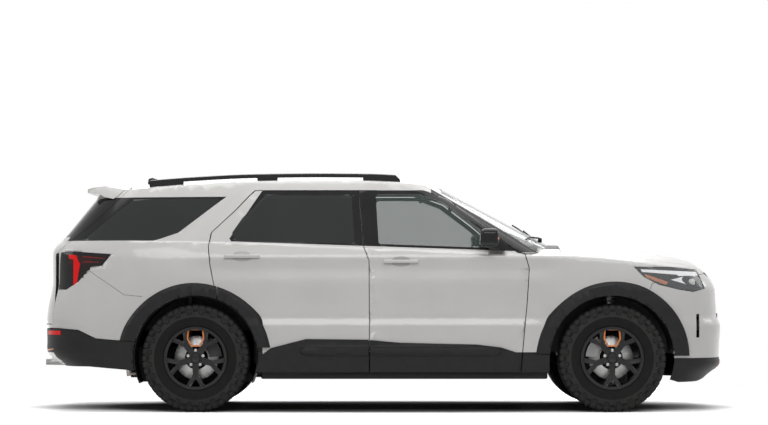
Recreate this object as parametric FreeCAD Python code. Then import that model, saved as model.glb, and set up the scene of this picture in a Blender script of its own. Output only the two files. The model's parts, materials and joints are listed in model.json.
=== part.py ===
# A three-row sport utility vehicle: unit body, four doors, lifting tailgate, hood, steered front wheels.
# Millimetres. +X points to the nose, +Y to the vehicle's left, +Z up, the ground at Z = 0.
import FreeCAD, Part
import math
import os
from functools import lru_cache

V = FreeCAD.Vector

# Driving dimensions
wheelbase = 3025.0
front_overhang = 868.0
rear_overhang = 1157.0
track = 1700.0
body_half_width = 988.0
tyre_radius = 392.0
tyre_width = 255.0
rim_radius = 229.0
front_axle_x = (wheelbase + rear_overhang - front_overhang) / 2
rear_axle_x = front_axle_x - wheelbase
nose_x = front_axle_x + front_overhang
tail_x = rear_axle_x - rear_overhang
axle_z = tyre_radius
wheel_y = track / 2
arch_radius = 455.0
flare_radius = 565.0
shut_gap = 6.0
panel_gap = 3.0
seat_gap = 0.3
glass_step = 2.0
glass_thickness = 6.0
panel_wall = 26.0
door_wall = 105.0
pillar_wall = 50.0
roof_wall = 36.0
floor_top = 345.0
floor_bottom = 305.0
sill_y = 912.0
sill_top = 408.0
bulkhead_x = 1150.0
gate_room_x = -2420.0
belt_room_z = 1150.0
deck_wall = 30.0
far = 3000.0

os.makedirs("parts", exist_ok=True)


# Curves and solids shared by every piece

def smooth(t):
    t = max(0.0, min(1.0, t))
    return t * t * (3 - 2 * t)


def along(rows, t):
    """A smooth curve through (position, value) rows that never overshoots them."""
    if t <= rows[0][0]:
        return rows[0][1]
    if t >= rows[-1][0]:
        return rows[-1][1]
    step = [b[0] - a[0] for a, b in zip(rows, rows[1:])]
    rise = [(b[1] - a[1]) / s for a, b, s in zip(rows, rows[1:], step)]
    slope = [rise[0]]
    for a, b in zip(rise, rise[1:]):
        slope.append(0.0 if a * b <= 0 else 2 * a * b / (a + b))
    slope.append(rise[-1])
    i = max(k for k in range(len(step)) if rows[k][0] <= t)
    s = (t - rows[i][0]) / step[i]
    return (
        rows[i][1] * (1 + 2 * s) * (1 - s) ** 2
        + slope[i] * step[i] * s * (1 - s) ** 2
        + rows[i + 1][1] * s * s * (3 - 2 * s)
        + slope[i + 1] * step[i] * s * s * (s - 1)
    )


def steps(low, high, count):
    return [low + (high - low) * i / (count - 1) for i in range(count)]


def spread(points, count):
    """The same number of points evenly along a smooth curve through the given ones."""
    curve = Part.BSplineCurve()
    curve.interpolate(points)
    return curve.discretize(Number=count)


def flip(shape):
    """The same piece on the other side of the vehicle."""
    return shape.mirror(V(0, 0, 0), V(0, 1, 0))


def solid_from(faces):
    solid = Part.Solid(Part.Shell(faces))
    if solid.Volume < 0:
        solid.reverse()
    return solid


def skin(rows):
    """A closed solid through half outlines stacked in Z, from the nose's centre to the tail's."""
    surface = Part.BSplineSurface()
    surface.interpolate(rows)
    right = surface.toShape()
    left = flip(right)
    caps = []
    for z in (rows[0][0].z, rows[-1][0].z):
        rim = [
            e
            for face in (right, left)
            for e in face.Edges
            if abs(e.BoundBox.ZMin - z) < 1e-6 and abs(e.BoundBox.ZMax - z) < 1e-6
        ]
        caps.append(Part.Face(Part.Wire(Part.__sortEdges__(rim))))
    return solid_from([right, left] + caps)


def under(height, xs, ys, depth):
    """Everything for depth below a height field over a rectangle."""
    surface = Part.BSplineSurface()
    surface.interpolate([[V(x, y, height(x, y)) for y in ys] for x in xs])
    return surface.toShape().extrude(V(0, 0, -depth))


def side_prism(outline, y0, y1):
    """A side-view outline of (x, z) points, as deep as y0 to y1."""
    wire = Part.makePolygon([V(x, y0, z) for x, z in outline + outline[:1]])
    return Part.Face(wire).extrude(V(0, y1 - y0, 0))


def plan_prism(outline, z0, z1):
    wire = Part.makePolygon([V(x, y, z0) for x, y in outline + outline[:1]])
    return Part.Face(wire).extrude(V(0, 0, z1 - z0))


def front_prism(outline, x0, x1):
    wire = Part.makePolygon([V(x0, y, z) for y, z in outline + outline[:1]])
    return Part.Face(wire).extrude(V(x1 - x0, 0, 0))


def block(x0, x1, y0, y1, z0, z1):
    return Part.makeBox(x1 - x0, y1 - y0, z1 - z0, V(x0, y0, z0))


def rounded(x0, x1, y0, y1, z0, z1, radius):
    box = block(x0, x1, y0, y1, z0, z1)
    return box.makeFillet(radius, box.Edges)


def bar(start, end, radius):
    line = end.sub(start)
    return Part.makeCylinder(radius, line.Length, start, line)


def disc(x, z, radius, y0, y1):
    return Part.makeCylinder(radius, y1 - y0, V(x, y0, z), V(0, 1, 0))


def solids_of(shape, least=2000.0):
    """The shape's solids, without the crumbs that a cut can leave."""
    kept = [s for s in shape.Solids if s.Volume > least]
    return kept[0] if len(kept) == 1 else Part.makeCompound(kept)


def save(name, shape, least=2000.0):
    piece = solids_of(shape, least)
    piece.exportStep(f"parts/{name}.step")
    box = piece.BoundBox
    print(name, len(piece.Solids), piece.isValid(), round(piece.Volume / 1e6, 2), "litres",
          [round(v) for v in (box.XMin, box.XMax, box.YMin, box.YMax, box.ZMin, box.ZMax)])


# The body's outside

plan_half = [
    (nose_x, 0), (nose_x - 5, 280), (nose_x - 32, 540), (nose_x - 98, 742), (nose_x - 218, 866),
    (nose_x - 405, 934), (nose_x - 675, 964), (1400, 978), (800, 986), (0, 988), (-800, 986),
    (-1400, 980), (tail_x + 675, 966), (tail_x + 380, 936), (tail_x + 195, 876),
    (tail_x + 88, 762), (tail_x + 28, 540), (tail_x + 5, 280), (tail_x, 0),
]
plan_points = spread([V(x, y, 0) for x, y in plan_half], 61)
end_zone = 1500.0
nose_set = [
    (170, -300), (215, -165), (286, -67), (330, -15), (507, -8), (631, 0), (690, -26),
    (894, -41), (985, -88), (1040, -147), (1100, -230), (1300, -400),
]
tail_set = [
    (170, -250), (336, -140), (369, -72), (440, -14), (600, -12), (670, 0), (753, -8), (960, -45),
    (1150, -42), (1210, -62), (1266, -125), (1330, -200),
]
door_side = [
    (170, -82), (290, -30), (430, -12), (560, -8), (625, -8), (690, -22), (800, -10), (950, 0),
    (1045, -10), (1120, -5), (1200, -38), (1300, -80),
]
end_side = [
    (170, -90), (290, -42), (430, -16), (600, -5), (760, 0), (950, -4), (1120, -18), (1200, -40),
    (1300, -80),
]
crease_front_x = 1420.0
crease_rear_x = -1500.0
crease_fade = 420.0
lower_levels = [
    170, 215, 250, 290, 330, 380, 440, 500, 560, 600, 631, 660, 690, 730, 790, 850, 900, 950, 985,
    1015, 1045, 1080, 1120, 1160, 1200, 1250, 1300,
]
belt_centre = [
    (tail_x, 1262), (-1000, 1252), (900, 1228), (1250, 1226), (1433, 1224), (1584, 1214),
    (1707, 1201), (1798, 1191), (1890, 1178), (2073, 1154), (2164, 1138), (2256, 1116),
    (2347, 1080), (2408, 1040), (2470, 985), (nose_x, 900),
]
belt_edge = [
    (tail_x, 1254), (-1600, 1244), (-1073, 1231), (-142, 1199), (700, 1168), (1027, 1157),
    (1300, 1150), (1600, 1132), (1800, 1108), (2000, 1078), (2200, 1040), (2378, 985),
    (nose_x, 900),
]
cowl_z = 1224.0
cowl_x = 1250.0
screen_rake = 1.9
backlight_rake = 0.779
backlight_z = 1266.0
backlight_x = tail_x + 121
cabin_half = [
    (1100, 975), (1150, 957), (1200, 936), (1300, 891), (1400, 843), (1500, 791), (1600, 734),
    (1650, 703), (1700, 666), (1800, 575),
]
cabin_levels = [1100, 1150, 1200, 1250, 1300, 1360, 1420, 1480, 1540, 1600, 1650, 1700, 1800]
roof_line = [
    (tail_x + 100, 1556), (tail_x + 250, 1606), (tail_x + 310, 1626), (-2000, 1662), (-1801, 1684),
    (-1402, 1716), (-968, 1737), (-488, 1743), (-160, 1741), (100, 1731), (244, 1716), (335, 1697),
    (427, 1668), (600, 1620), (900, 1560), (1500, 1480),
]


def lower_row(z, inset):
    ahead = along(nose_set, z) - inset
    behind = along(tail_set, z) - inset
    row = []
    for p in plan_points:
        plain = max(smooth((p.x - crease_front_x + crease_fade) / crease_fade),
                    smooth((crease_rear_x + crease_fade - p.x) / crease_fade))
        tuck = along(door_side, z) * (1 - plain) + along(end_side, z) * plain
        narrow = 1 + (tuck - inset) / body_half_width
        front = smooth((p.x - end_zone) / (nose_x - end_zone))
        rear = smooth((-p.x - end_zone) / (-tail_x - end_zone))
        row.append(V(p.x + ahead * front - behind * rear, -p.y * narrow, z))
    return row


def deck_height(inset):
    def height(x, y):
        edge = along(belt_edge, x)
        centre = along(belt_centre, x)
        return edge + (centre - edge) * (1 - (abs(y) / 880.0) ** 2.6) - inset
    return height


def roof_height(inset):
    def height(x, y):
        return along(roof_line, x) - 56.0 * (abs(y) / 700.0) ** 2.4 - inset
    return height


def cabin_half_plan(z, inset):
    half = along(cabin_half, z) - inset
    front = cowl_x - screen_rake * (z - cowl_z) - inset / math.sin(math.atan(1 / screen_rake))
    rear = backlight_x + backlight_rake * max(z - backlight_z, -40) + inset * 1.27
    bow = along([(1150, 290), (1610, 146), (1800, 110)], z)
    shares = [
        (front, 0), (front - 0.09 * bow, 0.33), (front - 0.36 * bow, 0.64),
        (front - 0.72 * bow, 0.85), (front - 1.02 * bow, 0.945), (front - 1.35 * bow, 0.972),
        (front - 2.2 * bow, 0.985), (0, 1.0), (-800, 0.998), (-1500, 0.98), (rear + 420, 0.953),
        (rear + 210, 0.91), (rear + 95, 0.82), (rear + 38, 0.64), (rear + 9, 0.33), (rear, 0),
    ]
    return [V(x, -share * half, z) for x, share in shares]


def chords(points):
    """How far along its own polygon each point lies, as a share of the whole."""
    run = [0.0]
    for a, b in zip(points, points[1:]):
        run.append(run[-1] + a.distanceToPoint(b))
    return [r / run[-1] for r in run]


cabin_params = chords(cabin_half_plan(1400, 0.0))


def cabin_row(z, inset):
    curve = Part.BSplineCurve()
    curve.interpolate(Points=cabin_half_plan(z, inset), Parameters=cabin_params)
    return [curve.value(t) for t in steps(0.0, 1.0, 61)]


xs_deck = steps(tail_x - 50, nose_x + 50, 60)
xs_roof = steps(tail_x + 100, 1500, 56)
ys_wide = [-1060, -960, -880, -780, -640, -480, -320, -160, 0,
           160, 320, 480, 640, 780, 880, 960, 1060]


@lru_cache(maxsize=None)
def side_stack(inset):
    """The lower body's outline grown or shrunk, with no top cut to it."""
    return skin([lower_row(z, inset) for z in lower_levels])


@lru_cache(maxsize=None)
def lower_body(inset, deck_inset=None):
    drop = inset if deck_inset is None else deck_inset
    return side_stack(inset).common(under(deck_height(drop), xs_deck, ys_wide, 1500))


@lru_cache(maxsize=None)
def cabin(inset, roof_inset=None):
    stack = skin([cabin_row(z, inset) for z in cabin_levels])
    drop = inset if roof_inset is None else roof_inset
    return stack.common(under(roof_height(drop), xs_roof, ys_wide, 900))


outside = lower_body(0.0).fuse(cabin(0.0))
room_below = lower_body(door_wall, deck_wall).common(
    block(gate_room_x, bulkhead_x, -far, far, floor_top, belt_room_z + 2))
room_above = cabin(pillar_wall, roof_wall).common(
    block(tail_x, cowl_x, -far, far, belt_room_z, far))
shell = outside.cut(room_below).cut(room_above)
right_half = block(-far, far, -far, 0, -100, far)
right_shell = shell.common(right_half)


def pane_prism(outline, radius, shrink, y0, y1):
    """A rounded side-view opening, or the pane in it when it is shrunk."""
    face = Part.Face(Part.makePolygon([V(x, y0, z) for x, z in outline + outline[:1]]))
    if shrink:
        face = face.makeOffset2D(-shrink)
    prism = face.extrude(V(0, y1 - y0, 0))
    upright = [e for e in prism.Edges if abs(e.BoundBox.YLength - abs(y1 - y0)) < 1e-6]
    return prism.makeFillet(radius - shrink, upright)


# Openings in the side, as side-view outlines

door_bottom = 290.0
door_top = 1615.0
front_door_edge = [(1051, 1041), (1034, 778), (1008, 497), (990, door_bottom)]
post_turns = (1099.0, 1203.0)
post_edge = [(-101, door_bottom), (-105, post_turns[0]), (-146, post_turns[1]), (-181, door_top)]
front_door_outline = (
    [(288, door_top), (460, 1553), (694, 1380), (966, 1159), (1021, 1147)]
    + front_door_edge + post_edge
)
rear_door_edge = [
    (-941, door_top), (-981, 1580), (-1089, 1462), (-1256, 1305), (-1273, 1206),
    (-1260, 1072), (-1232, 932), (-1207, 831), (-1207, door_bottom),
]
rear_door_outline = [(x - shut_gap, z) for x, z in post_edge] + rear_door_edge
upper_lean = 0.45
lower_lean = 0.2
jamb_start = 6.0
jamb_depth = 160.0
sill_gap = 6.0
frame_depth = 80.0
door_inner_limit = [
    (-along(cabin_half, belt_room_z + 3) + frame_depth, belt_room_z + 3),
    (-along(cabin_half, 1400) + frame_depth, 1400),
    (-along(cabin_half, 1650) + frame_depth, 1650), (0, 1650), (0, belt_room_z + 3),
]

front_window = [
    (-62, 1590), (272, 1588), (438, 1527), (650, 1372), (872, 1190), (-40, 1222),
]
rear_window = [
    (-238, 1590), (-868, 1590), (-1035, 1412), (-1110, 1300), (-1070, 1242), (-212, 1224),
]
quarter_window = [
    (-1170, 1562), (-1835, 1558), (-1985, 1440), (-2200, 1250), (-1660, 1250), (-1500, 1304),
]
window_corner = 22.0
pane_clear = 0.3


def side_y(z):
    """How far out the body's side stands at a height, between the wheels."""
    if z < belt_room_z:
        return body_half_width + along(door_side, z)
    return along(cabin_half, z)


def jamb_wedge(edge):
    """What the inner rear edge of a door gives up so that it can swing out past its neighbour."""
    ends = [(edge[0][0], edge[0][1] + math.copysign(80, edge[0][1] - edge[1][1]))]
    ends += edge
    ends.append((edge[-1][0], edge[-1][1] + math.copysign(80, edge[-1][1] - edge[-2][1])))
    sections = []
    for x, z in ends:
        y = -side_y(min(z, door_top)) + jamb_start
        lean = upper_lean if z > belt_room_z else lower_lean
        corners = [V(x, y, z), V(x + lean * jamb_depth, y + jamb_depth, z),
                   V(x - jamb_depth, y + jamb_depth, z), V(x - jamb_depth, y, z)]
        sections.append(Part.makePolygon(corners + corners[:1]))
    return Part.makeLoft(sections, True, True)


def door_blank(outline, rear_edge, window):
    panel = right_shell.common(side_prism(outline, -1100, -500))
    panel = panel.cut(front_prism(door_inner_limit, -far, far))
    panel = panel.cut(jamb_wedge(rear_edge))
    panel = panel.cut(block(-far, far, -sill_y - sill_gap, 0, 0, sill_top + sill_gap))
    return panel.cut(pane_prism(window, window_corner, 0.0, -1100, -400))


def in_two(door, z):
    """A door's panel up to a height and the window frame on it, meeting face to face."""
    halves = (block(-far, far, -far, 0, 0, z), block(-far, far, -far, 0, z, 2 * far))
    return Part.makeCompound([s for half in halves for s in door.common(half).Solids])


def pane(window, layer):
    return layer.common(pane_prism(window, window_corner, pane_clear, -1100, -400))


glass_layer = cabin(glass_step).cut(cabin(glass_step + glass_thickness))
glass_right = glass_layer.common(right_half)
rear_well = disc(rear_axle_x, axle_z, arch_radius, -far, -600)
front_well = disc(front_axle_x, axle_z, arch_radius, -far, -500)

hinge_post = (1063.0, bulkhead_x - 1)
hinge_leaf_y = (-935, -890)
hinge_leaf_z = ((560, 610), (930, 980))


def hinge_leaf(z0, z1):
    """A hinge leaf from inside the door's front edge up to the pillar that carries it."""
    return block(hinge_post[0] - 80, hinge_post[0] - seat_gap, *hinge_leaf_y, z0, z1)


front_door = door_blank(front_door_outline, post_edge, front_window).multiFuse(
    [hinge_leaf(*span) for span in hinge_leaf_z])
rear_door = door_blank(rear_door_outline, rear_door_edge, rear_window).cut(rear_well)

# The fixed side: pillars, roof rail, quarter panel and sill

roof_seam_y = 640.0
hood_rear_x = 1296.0
gate_half = 780.0
gate_line = [(-1868, 1800), (-1868, 1647), (-1944, 1557), (-2146, 1363), (-2410, 1150)]
gate_sill_z = 640.0
bumper_top = gate_sill_z - shut_gap
bumper_line = [(-2330, 890), (-2140, 1025), (-1885, 850), (-1755, 839)]
screen_edge = [(418, 1628), (1125, 1158)]
header_edge = [(440, 1654), (450, 1800)]
frame_outline = (
    [(x + shut_gap / 2, z) for x, z in gate_line] + [(-2700, 1150), (-2700, 893)]
    + [(x, z + panel_gap) for x, z in bumper_line]
    + [(-1755, 500), (-1213, 500), (-1213, 831), (-1238, 932), (-1266, 1072), (-1279, 1206),
       (-1262, 1305), (-1095, 1466), (-987, 1584), (-947, door_top + shut_gap),
       (290, door_top + shut_gap), (464, 1559), (698, 1386), (970, 1165), (1030, 1153)]
    + [(x - seat_gap, z) for x, z in screen_edge[::-1] + header_edge]
)
cowl_half = 700.0
cowl_hole = block(1030, hood_rear_x, -cowl_half, 0, 1000, 1300)
post_depth = 108.0
lamp_depth = 70.0
post_inner = 160.0
rail_depth = 95.0
sill_inner = 800.0
sill_low = 240.0
front_sill_x = 1190.0
rear_sill_x = -895.0


def tail_lamp_prism(grow, y0, y1):
    face = Part.Face(Part.makePolygon([V(x, y0, z) for x, z in
                                       tail_lamp_outline + tail_lamp_outline[:1]]))
    if grow:
        face = face.makeOffset2D(grow)
    return face.extrude(V(0, y1 - y0, 0))


tail_lamp_outline = [(-2600, 1145), (-2270, 1165), (-1985, 1146), (-2050, 1066), (-2130, 1058),
                     (-2225, 950), (-2318, 892), (-2600, 912)]
tail_lamp_inner_y = 790.0


def side_frame_piece():
    ring = right_shell.common(side_prism(frame_outline, -1100, -roof_seam_y - seat_gap))
    ring = ring.cut(block(-far, gate_line[-1][0] + 30, -gate_half - shut_gap, 0, 0, 1400))
    ring = ring.cut(rear_well)
    ring = ring.cut(pane_prism(quarter_window, window_corner, 0.0, -1100, -400))
    pocket = side_stack(-50.0).cut(side_stack(lamp_depth + seat_gap)).common(
        tail_lamp_prism(panel_gap, -far, -tail_lamp_inner_y + panel_gap))
    ring = ring.cut(pocket).cut(cowl_hole)
    thick_rail = cabin(0.0).cut(cabin(rail_depth, roof_wall)).common(
        block(-1000, 300, -far, -roof_seam_y - seat_gap, door_top + shut_gap, far))
    lower_post = side_stack(post_depth).cut(side_stack(post_inner)).common(
        block(-210, -30, -far, 0, floor_top, 1180))
    upper_post_line = [(-200, 1157), (-40, 1157), (-90, 1650), (-250, 1650)]
    upper_post = cabin(pillar_wall + 8).cut(cabin(rail_depth + 30)).common(
        side_prism(upper_post_line, -1000, -500))
    front_post = side_stack(panel_wall + 1).cut(side_stack(post_inner)).common(
        block(hinge_post[0], hinge_post[1], -far, 0, floor_top, 1185))
    front_post = front_post.common(under(deck_height(panel_wall), xs_deck, ys_wide, 1500))
    sill = rounded(rear_sill_x, front_sill_x, -sill_y, -sill_inner, sill_low, sill_top, 14)
    return ring.multiFuse([thick_rail, lower_post, upper_post, front_post, sill])


side_frame = side_frame_piece()


def liftgate_piece():
    gate = shell.common(side_prism(gate_line + [(-2410, gate_sill_z), (-2700, gate_sill_z),
                                                (-2700, 1800)], -far, far))
    for side in (1, -1):
        y0, y1 = sorted((side * gate_half, side * far))
        gate = gate.cut(block(-far, far, y0, y1, 0, gate_line[-1][1] + shut_gap / 2))
    gate = gate.cut(gate_glass_prism(0.0))
    spoiler = plan_prism(spoiler_plan, 1560, 1700).common(
        side_prism(spoiler_side, -roof_seam_y, roof_seam_y))
    return gate.fuse(spoiler)


spoiler_plan = [(-2050, -600), (-2190, -585), (-2214, -400), (-2218, 0), (-2214, 400),
                (-2190, 585), (-2050, 600)]
spoiler_side = [(-2050, 1655), (-2152, 1643), (-2218, 1626), (-2216, 1612), (-2150, 1606),
                (-2050, 1618)]
gate_glass_edge = [(560, 1575), (-560, 1575), (-668, 1320), (-640, 1276), (640, 1276), (668, 1320)]


def gate_glass_prism(shrink):
    face = Part.Face(Part.makePolygon([V(-3000, y, z) for y, z in
                                       gate_glass_edge + gate_glass_edge[:1]]))
    if shrink:
        face = face.makeOffset2D(-shrink)
    return face.extrude(V(3000 - 1900, 0, 0))


def screen_piece():
    outline = screen_edge + [(1500, 1100), (1500, 1800), header_edge[1], header_edge[0]]
    glass = glass_layer.common(side_prism(outline, -far, far))
    return glass.cut(under(deck_height(-screen_seat), xs_deck, ys_wide, 1500))


screen_seat = 1.0
liftgate = liftgate_piece()
roof_front = [(x - seat_gap, z) for x, z in screen_edge[:1] + header_edge]
roof = shell.common(side_prism(
    [(gate_line[0][0] + shut_gap, 1590), (roof_front[0][0], 1590)] + roof_front
    + [(gate_line[0][0] + shut_gap, 1800)], -roof_seam_y, roof_seam_y))

# Front and rear skins

door_front_line = [(1027, 1175), (1027, 1150), (1057, 1041), (1040, 778), (1014, 497),
                   (996, door_bottom)]
bumper_front_x = 1928.0
hood_front_x = 2372.0
hood_plan = [(hood_rear_x, -836), (1700, -818), (2060, -772), (2250, -716), (hood_front_x, -640)]
lamp_outline = [(1817, 1054), (2080, 1052), (2287, 1034), (2345, 900), (2253, 876), (2142, 893),
                (1997, 928), (1889, 983)]
lamp_inner_y = 590.0
front_low_z = 392.0
grille_half = 560.0
grille_z = (600.0, 982.0)
intake_half = 480.0
intake_z = (415.0, 545.0)
tail_low_line = [(-2700, 606), (-2380, 606), (-2226, 595), (-2094, 533), (-1941, 520),
                 (-1700, 514)]
flare_set = 27.0
cladding_set = 12.0

skin_layer = lower_body(0.0).cut(lower_body(panel_wall))
right_skin = skin_layer.common(right_half)
hood_hole = plan_prism(
    [(x, y - shut_gap) for x, y in hood_plan] + [(hood_front_x + 12, -640), (hood_front_x + 12, 0),
                                                 (hood_rear_x - shut_gap, 0),
                                                 (hood_rear_x - shut_gap, -842)], 930, far)


def lamp_prism(grow, y0, y1):
    face = Part.Face(Part.makePolygon([V(x, y0, z) for x, z in lamp_outline + lamp_outline[:1]]))
    if grow:
        face = face.makeOffset2D(grow)
    return face.extrude(V(0, y1 - y0, 0))


def pillar_foot(gap):
    x, z = screen_edge[1]
    return side_prism([(1000, 1153 - gap), (1030, 1153 - gap), (x + gap, z - gap), (x + gap, 1300),
                       (1000, 1300)], -far, 0)


def fender_piece():
    region = side_prism(door_front_line + [(1202, door_bottom), (1202, 430), (bumper_front_x, 430),
                                           (bumper_front_x, 886),
                                           (1945, 935), (2060, 975), (2372, 1010), (2372, 1300),
                                           (1027, 1300)], -far, 0)
    part = right_skin.common(region).cut(hood_hole).cut(front_well)
    part = part.cut(lamp_prism(panel_gap, -far, -lamp_inner_y + panel_gap))
    return part.cut(cowl_hole).cut(pillar_foot(panel_gap))


def front_bumper_piece():
    region = side_prism([(bumper_front_x + panel_gap, front_low_z), (bumper_front_x + panel_gap, 886),
                         (1948, 932), (2062, 972), (2375, 1007), (2375, 1045), (2600, 1045),
                         (2600, front_low_z)], -far, far)
    part = skin_layer.common(region)
    for place in (lambda s: s, flip):
        part = part.cut(place(front_well))
        part = part.cut(place(lamp_prism(panel_gap, -far, -lamp_inner_y + panel_gap)))
        part = part.cut(place(hood_hole))
    part = part.cut(block(2200, far, -grille_half, grille_half, *grille_z))
    part = part.cut(block(2200, far, -intake_half, intake_half, *intake_z))
    for side in (1, -1):
        slit = block(2276, 2300, -1000, -740, 541, 713)
        part = part.cut(slit if side < 0 else flip(slit))
    return part


def hood_piece():
    outline = hood_plan + [(x, -y) for x, y in reversed(hood_plan)]
    layer = lower_body(0.0).cut(side_stack(0.0).common(
        under(deck_height(hood_wall), xs_deck, ys_wide, 1500)))
    panel = layer.common(plan_prism(outline, 940, 1400))
    for place in (lambda s: s, flip):
        panel = panel.cut(place(lamp_prism(shut_gap, -far, -lamp_inner_y + shut_gap)))
    return panel


hood_wall = 26.0
fender = fender_piece()
front_bumper = front_bumper_piece()
hood = hood_piece()

# Rear bumper, claddings and flares

def rear_bumper_piece():
    region = side_prism([(-2700, gate_sill_z - 12), (-2700, 890)] + bumper_line
                        + [(-1755, 517), (-1941, 523), (-2094, 536), (-2226, 598),
                           (-2380, 609), (-2700, 609)], -far, far)
    part = side_stack(0.0).cut(side_stack(panel_wall)).common(region)
    part = part.cut(block(-far, tail_x + 260, -gate_half - shut_gap, gate_half + shut_gap,
                          500, far))
    step = side_stack(0.0).common(block(-far, gate_line[-1][0] + 60, -gate_half - 14,
                                        gate_half + 14, bumper_top - 24, bumper_top))
    stops = [block(-2500, -2470, y - 20, y + 20, bumper_top - 4, gate_sill_z - seat_gap)
             for y in (-520, 520)]
    part = part.multiFuse([step] + stops)
    for place in (lambda s: s, flip):
        part = part.cut(place(rear_well))
        part = part.cut(place(tail_lamp_prism(panel_gap, -far, -tail_lamp_inner_y)))
    return part


def low_shell(outline, inset, wall):
    """A strip of the lower body's skin inside a side-view outline, both sides and the end."""
    return side_stack(inset).cut(side_stack(inset + wall)).common(side_prism(outline, -far, far))


def front_low_piece():
    outline = [(bumper_front_x - 60, 300), (bumper_front_x - 60, front_low_z - seat_gap),
               (2700, front_low_z - seat_gap), (2700, 214), (2150, 214)]
    part = low_shell(outline, -2.0, 16.0)
    for place in (lambda s: s, flip):
        part = part.cut(place(front_well))
    return part


def rear_low_piece():
    outline = [(x, z - panel_gap) for x, z in tail_low_line] + [(-1700, 300), (-1861, 306),
                                                                (-2146, 330), (-2700, 330)]
    part = low_shell(outline, -cladding_set, 24.0)
    for place in (lambda s: s, flip):
        part = part.cut(place(rear_well))
    skid = plan_prism([(-2521, -420), (-2521, 420), (-2300, 520), (-2300, -520)], 330, 372)
    return part.fuse(skid)


def flare_ring(axle_x, ends, band):
    """A wheel opening's edge moulding, from one foot round to the other."""
    ring = band.common(disc(axle_x, axle_z, flare_radius, -far, 0))
    ring = ring.cut(disc(axle_x, axle_z, arch_radius, -far, 0))
    keep = side_prism(ends + [(axle_x + 900, 1200), (axle_x - 900, 1200)], -far, 0)
    ring = ring.common(keep).common(Part.makeCone(
        flare_radius + 60, flare_radius - 60, 120, V(axle_x, -900, axle_z), V(0, -1, 0)))
    return ring


flare_band = side_stack(-flare_set).cut(side_stack(-seat_gap)).common(right_half)
front_flare = flare_ring(front_axle_x, [(1000, 426), (front_axle_x, 426), (front_axle_x, 409),
                                        (2300, 409)], flare_band)
front_flare = front_flare.common(block(front_axle_x - 900, bumper_front_x + 400, -far, 0, 0, far))
rear_flare = flare_ring(rear_axle_x, [(-2000, 520), (rear_axle_x, 520), (rear_axle_x, 470),
                                      (-700, 470)], flare_band)
rear_flare_body = rear_flare.common(block(-far, -1213, -far, 0, 0, far))
rear_flare_door = rear_flare.common(block(-1207 , 0, -far, 0, 0, far))

cladding_band = side_stack(-cladding_set).cut(side_stack(-seat_gap)).common(right_half)
rear_cladding_outline = ([(-930, door_bottom), (-906, 400), (-822, 466), (-565, 532), (-111, 527),
                          (-111, door_bottom)])
front_cladding_outline = [(-99, door_bottom), (-99, 524), (120, 505), (675, 492), (850, 471),
                          (975, 430), (975, door_bottom)]
moulding_band = side_stack(-flare_set).cut(side_stack(-cladding_set + 1)).common(right_half)
rear_moulding = [(-610, 445), (-570, 475), (-114, 475), (-114, 415), (-570, 415)]
front_moulding = [(-96, 475), (820, 475), (850, 445), (820, 415), (-96, 415)]


def door_trim(outline, moulding, extra=None):
    trim = cladding_band.common(side_prism(outline, -far, 0))
    trim = trim.fuse(moulding_band.common(side_prism(moulding, -far, 0)))
    return trim.fuse(extra) if extra else trim


front_trim = door_trim(front_cladding_outline, front_moulding)
rear_trim = door_trim(rear_cladding_outline, rear_moulding, rear_flare_door)
fender_sill_trim = cladding_band.common(side_prism(
    [(1012, 426), (1170, 418), (1202, 418), (1195, door_bottom), (996, door_bottom)], -far, 0))

# Grille, lamps

grille_layer = side_stack(14.0).cut(side_stack(40.0))


def hexagon(y, z, radius, squash):
    return [(y + radius * math.cos(math.radians(60 * i)),
             z + squash * radius * math.sin(math.radians(60 * i))) for i in range(6)]


def grille_piece():
    plate = grille_layer.common(block(2200, far, -grille_half + seat_gap, grille_half - seat_gap,
                                      grille_z[0] + seat_gap, grille_z[1] - seat_gap))
    holes = []
    for row in range(grille_rows):
        z = grille_z[0] + 62 + row * grille_row_pitch
        count = grille_columns - row % 2
        for i in range(count):
            y = (i - (count - 1) / 2) * grille_pitch
            holes.append(front_prism(hexagon(y, z, grille_hole, 0.78), 2200, 2600))
    return plate.cut(Part.makeCompound(holes))


grille_rows = 5
grille_row_pitch = 64.0
grille_columns = 10
grille_pitch = 104.0
grille_hole = 42.0


def intake_piece():
    ring = grille_layer.common(
        block(2200, far, -intake_half + seat_gap, intake_half - seat_gap, intake_z[0] + seat_gap,
              intake_z[1] - seat_gap))
    slots = [block(2200, far, -intake_half + 26, intake_half - 26, intake_z[0] + z, intake_z[0] + z + 30)
             for z in (22, 70)]
    return ring.cut(Part.makeCompound(slots))


def lamp_pair(prism, inner_y, depth, step):
    block_right = outside.cut(side_stack(depth)).common(prism(0.0, -far, -inner_y))
    block_right = block_right.cut(outside.cut(side_stack(step))) if step else block_right
    return Part.makeCompound([block_right, flip(block_right)])


headlamps = lamp_pair(lamp_prism, lamp_inner_y, lamp_depth, 1.5)
taillamps = lamp_pair(tail_lamp_prism, tail_lamp_inner_y, lamp_depth, 0.0)


# Structure under the skins

rail_y = (430.0, 500.0)
rear_floor_z = (560.0, 590.0)
rear_floor_x = -960.0
apron_y = (494.0, 500.0)
core_x = (2230.0, 2262.0)
top_mount = (655.0, 900.0)
ball_joint = (822.0, 205.0)
lower_ball = (216.0, 7.0)
upper_ball = (918.7, 16.0)
inner_body = lower_body(panel_wall + seat_gap)


def on_both_sides(shapes):
    return shapes + [flip(s) for s in shapes]


def wheelhouse(axle_x, y0, y1, wall):
    house = disc(axle_x, axle_z, arch_radius + wall, y0, y1)
    house = house.cut(disc(axle_x, axle_z, arch_radius, y0, y1))
    return house.common(block(-far, far, y0, y1, floor_bottom, far))


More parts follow.
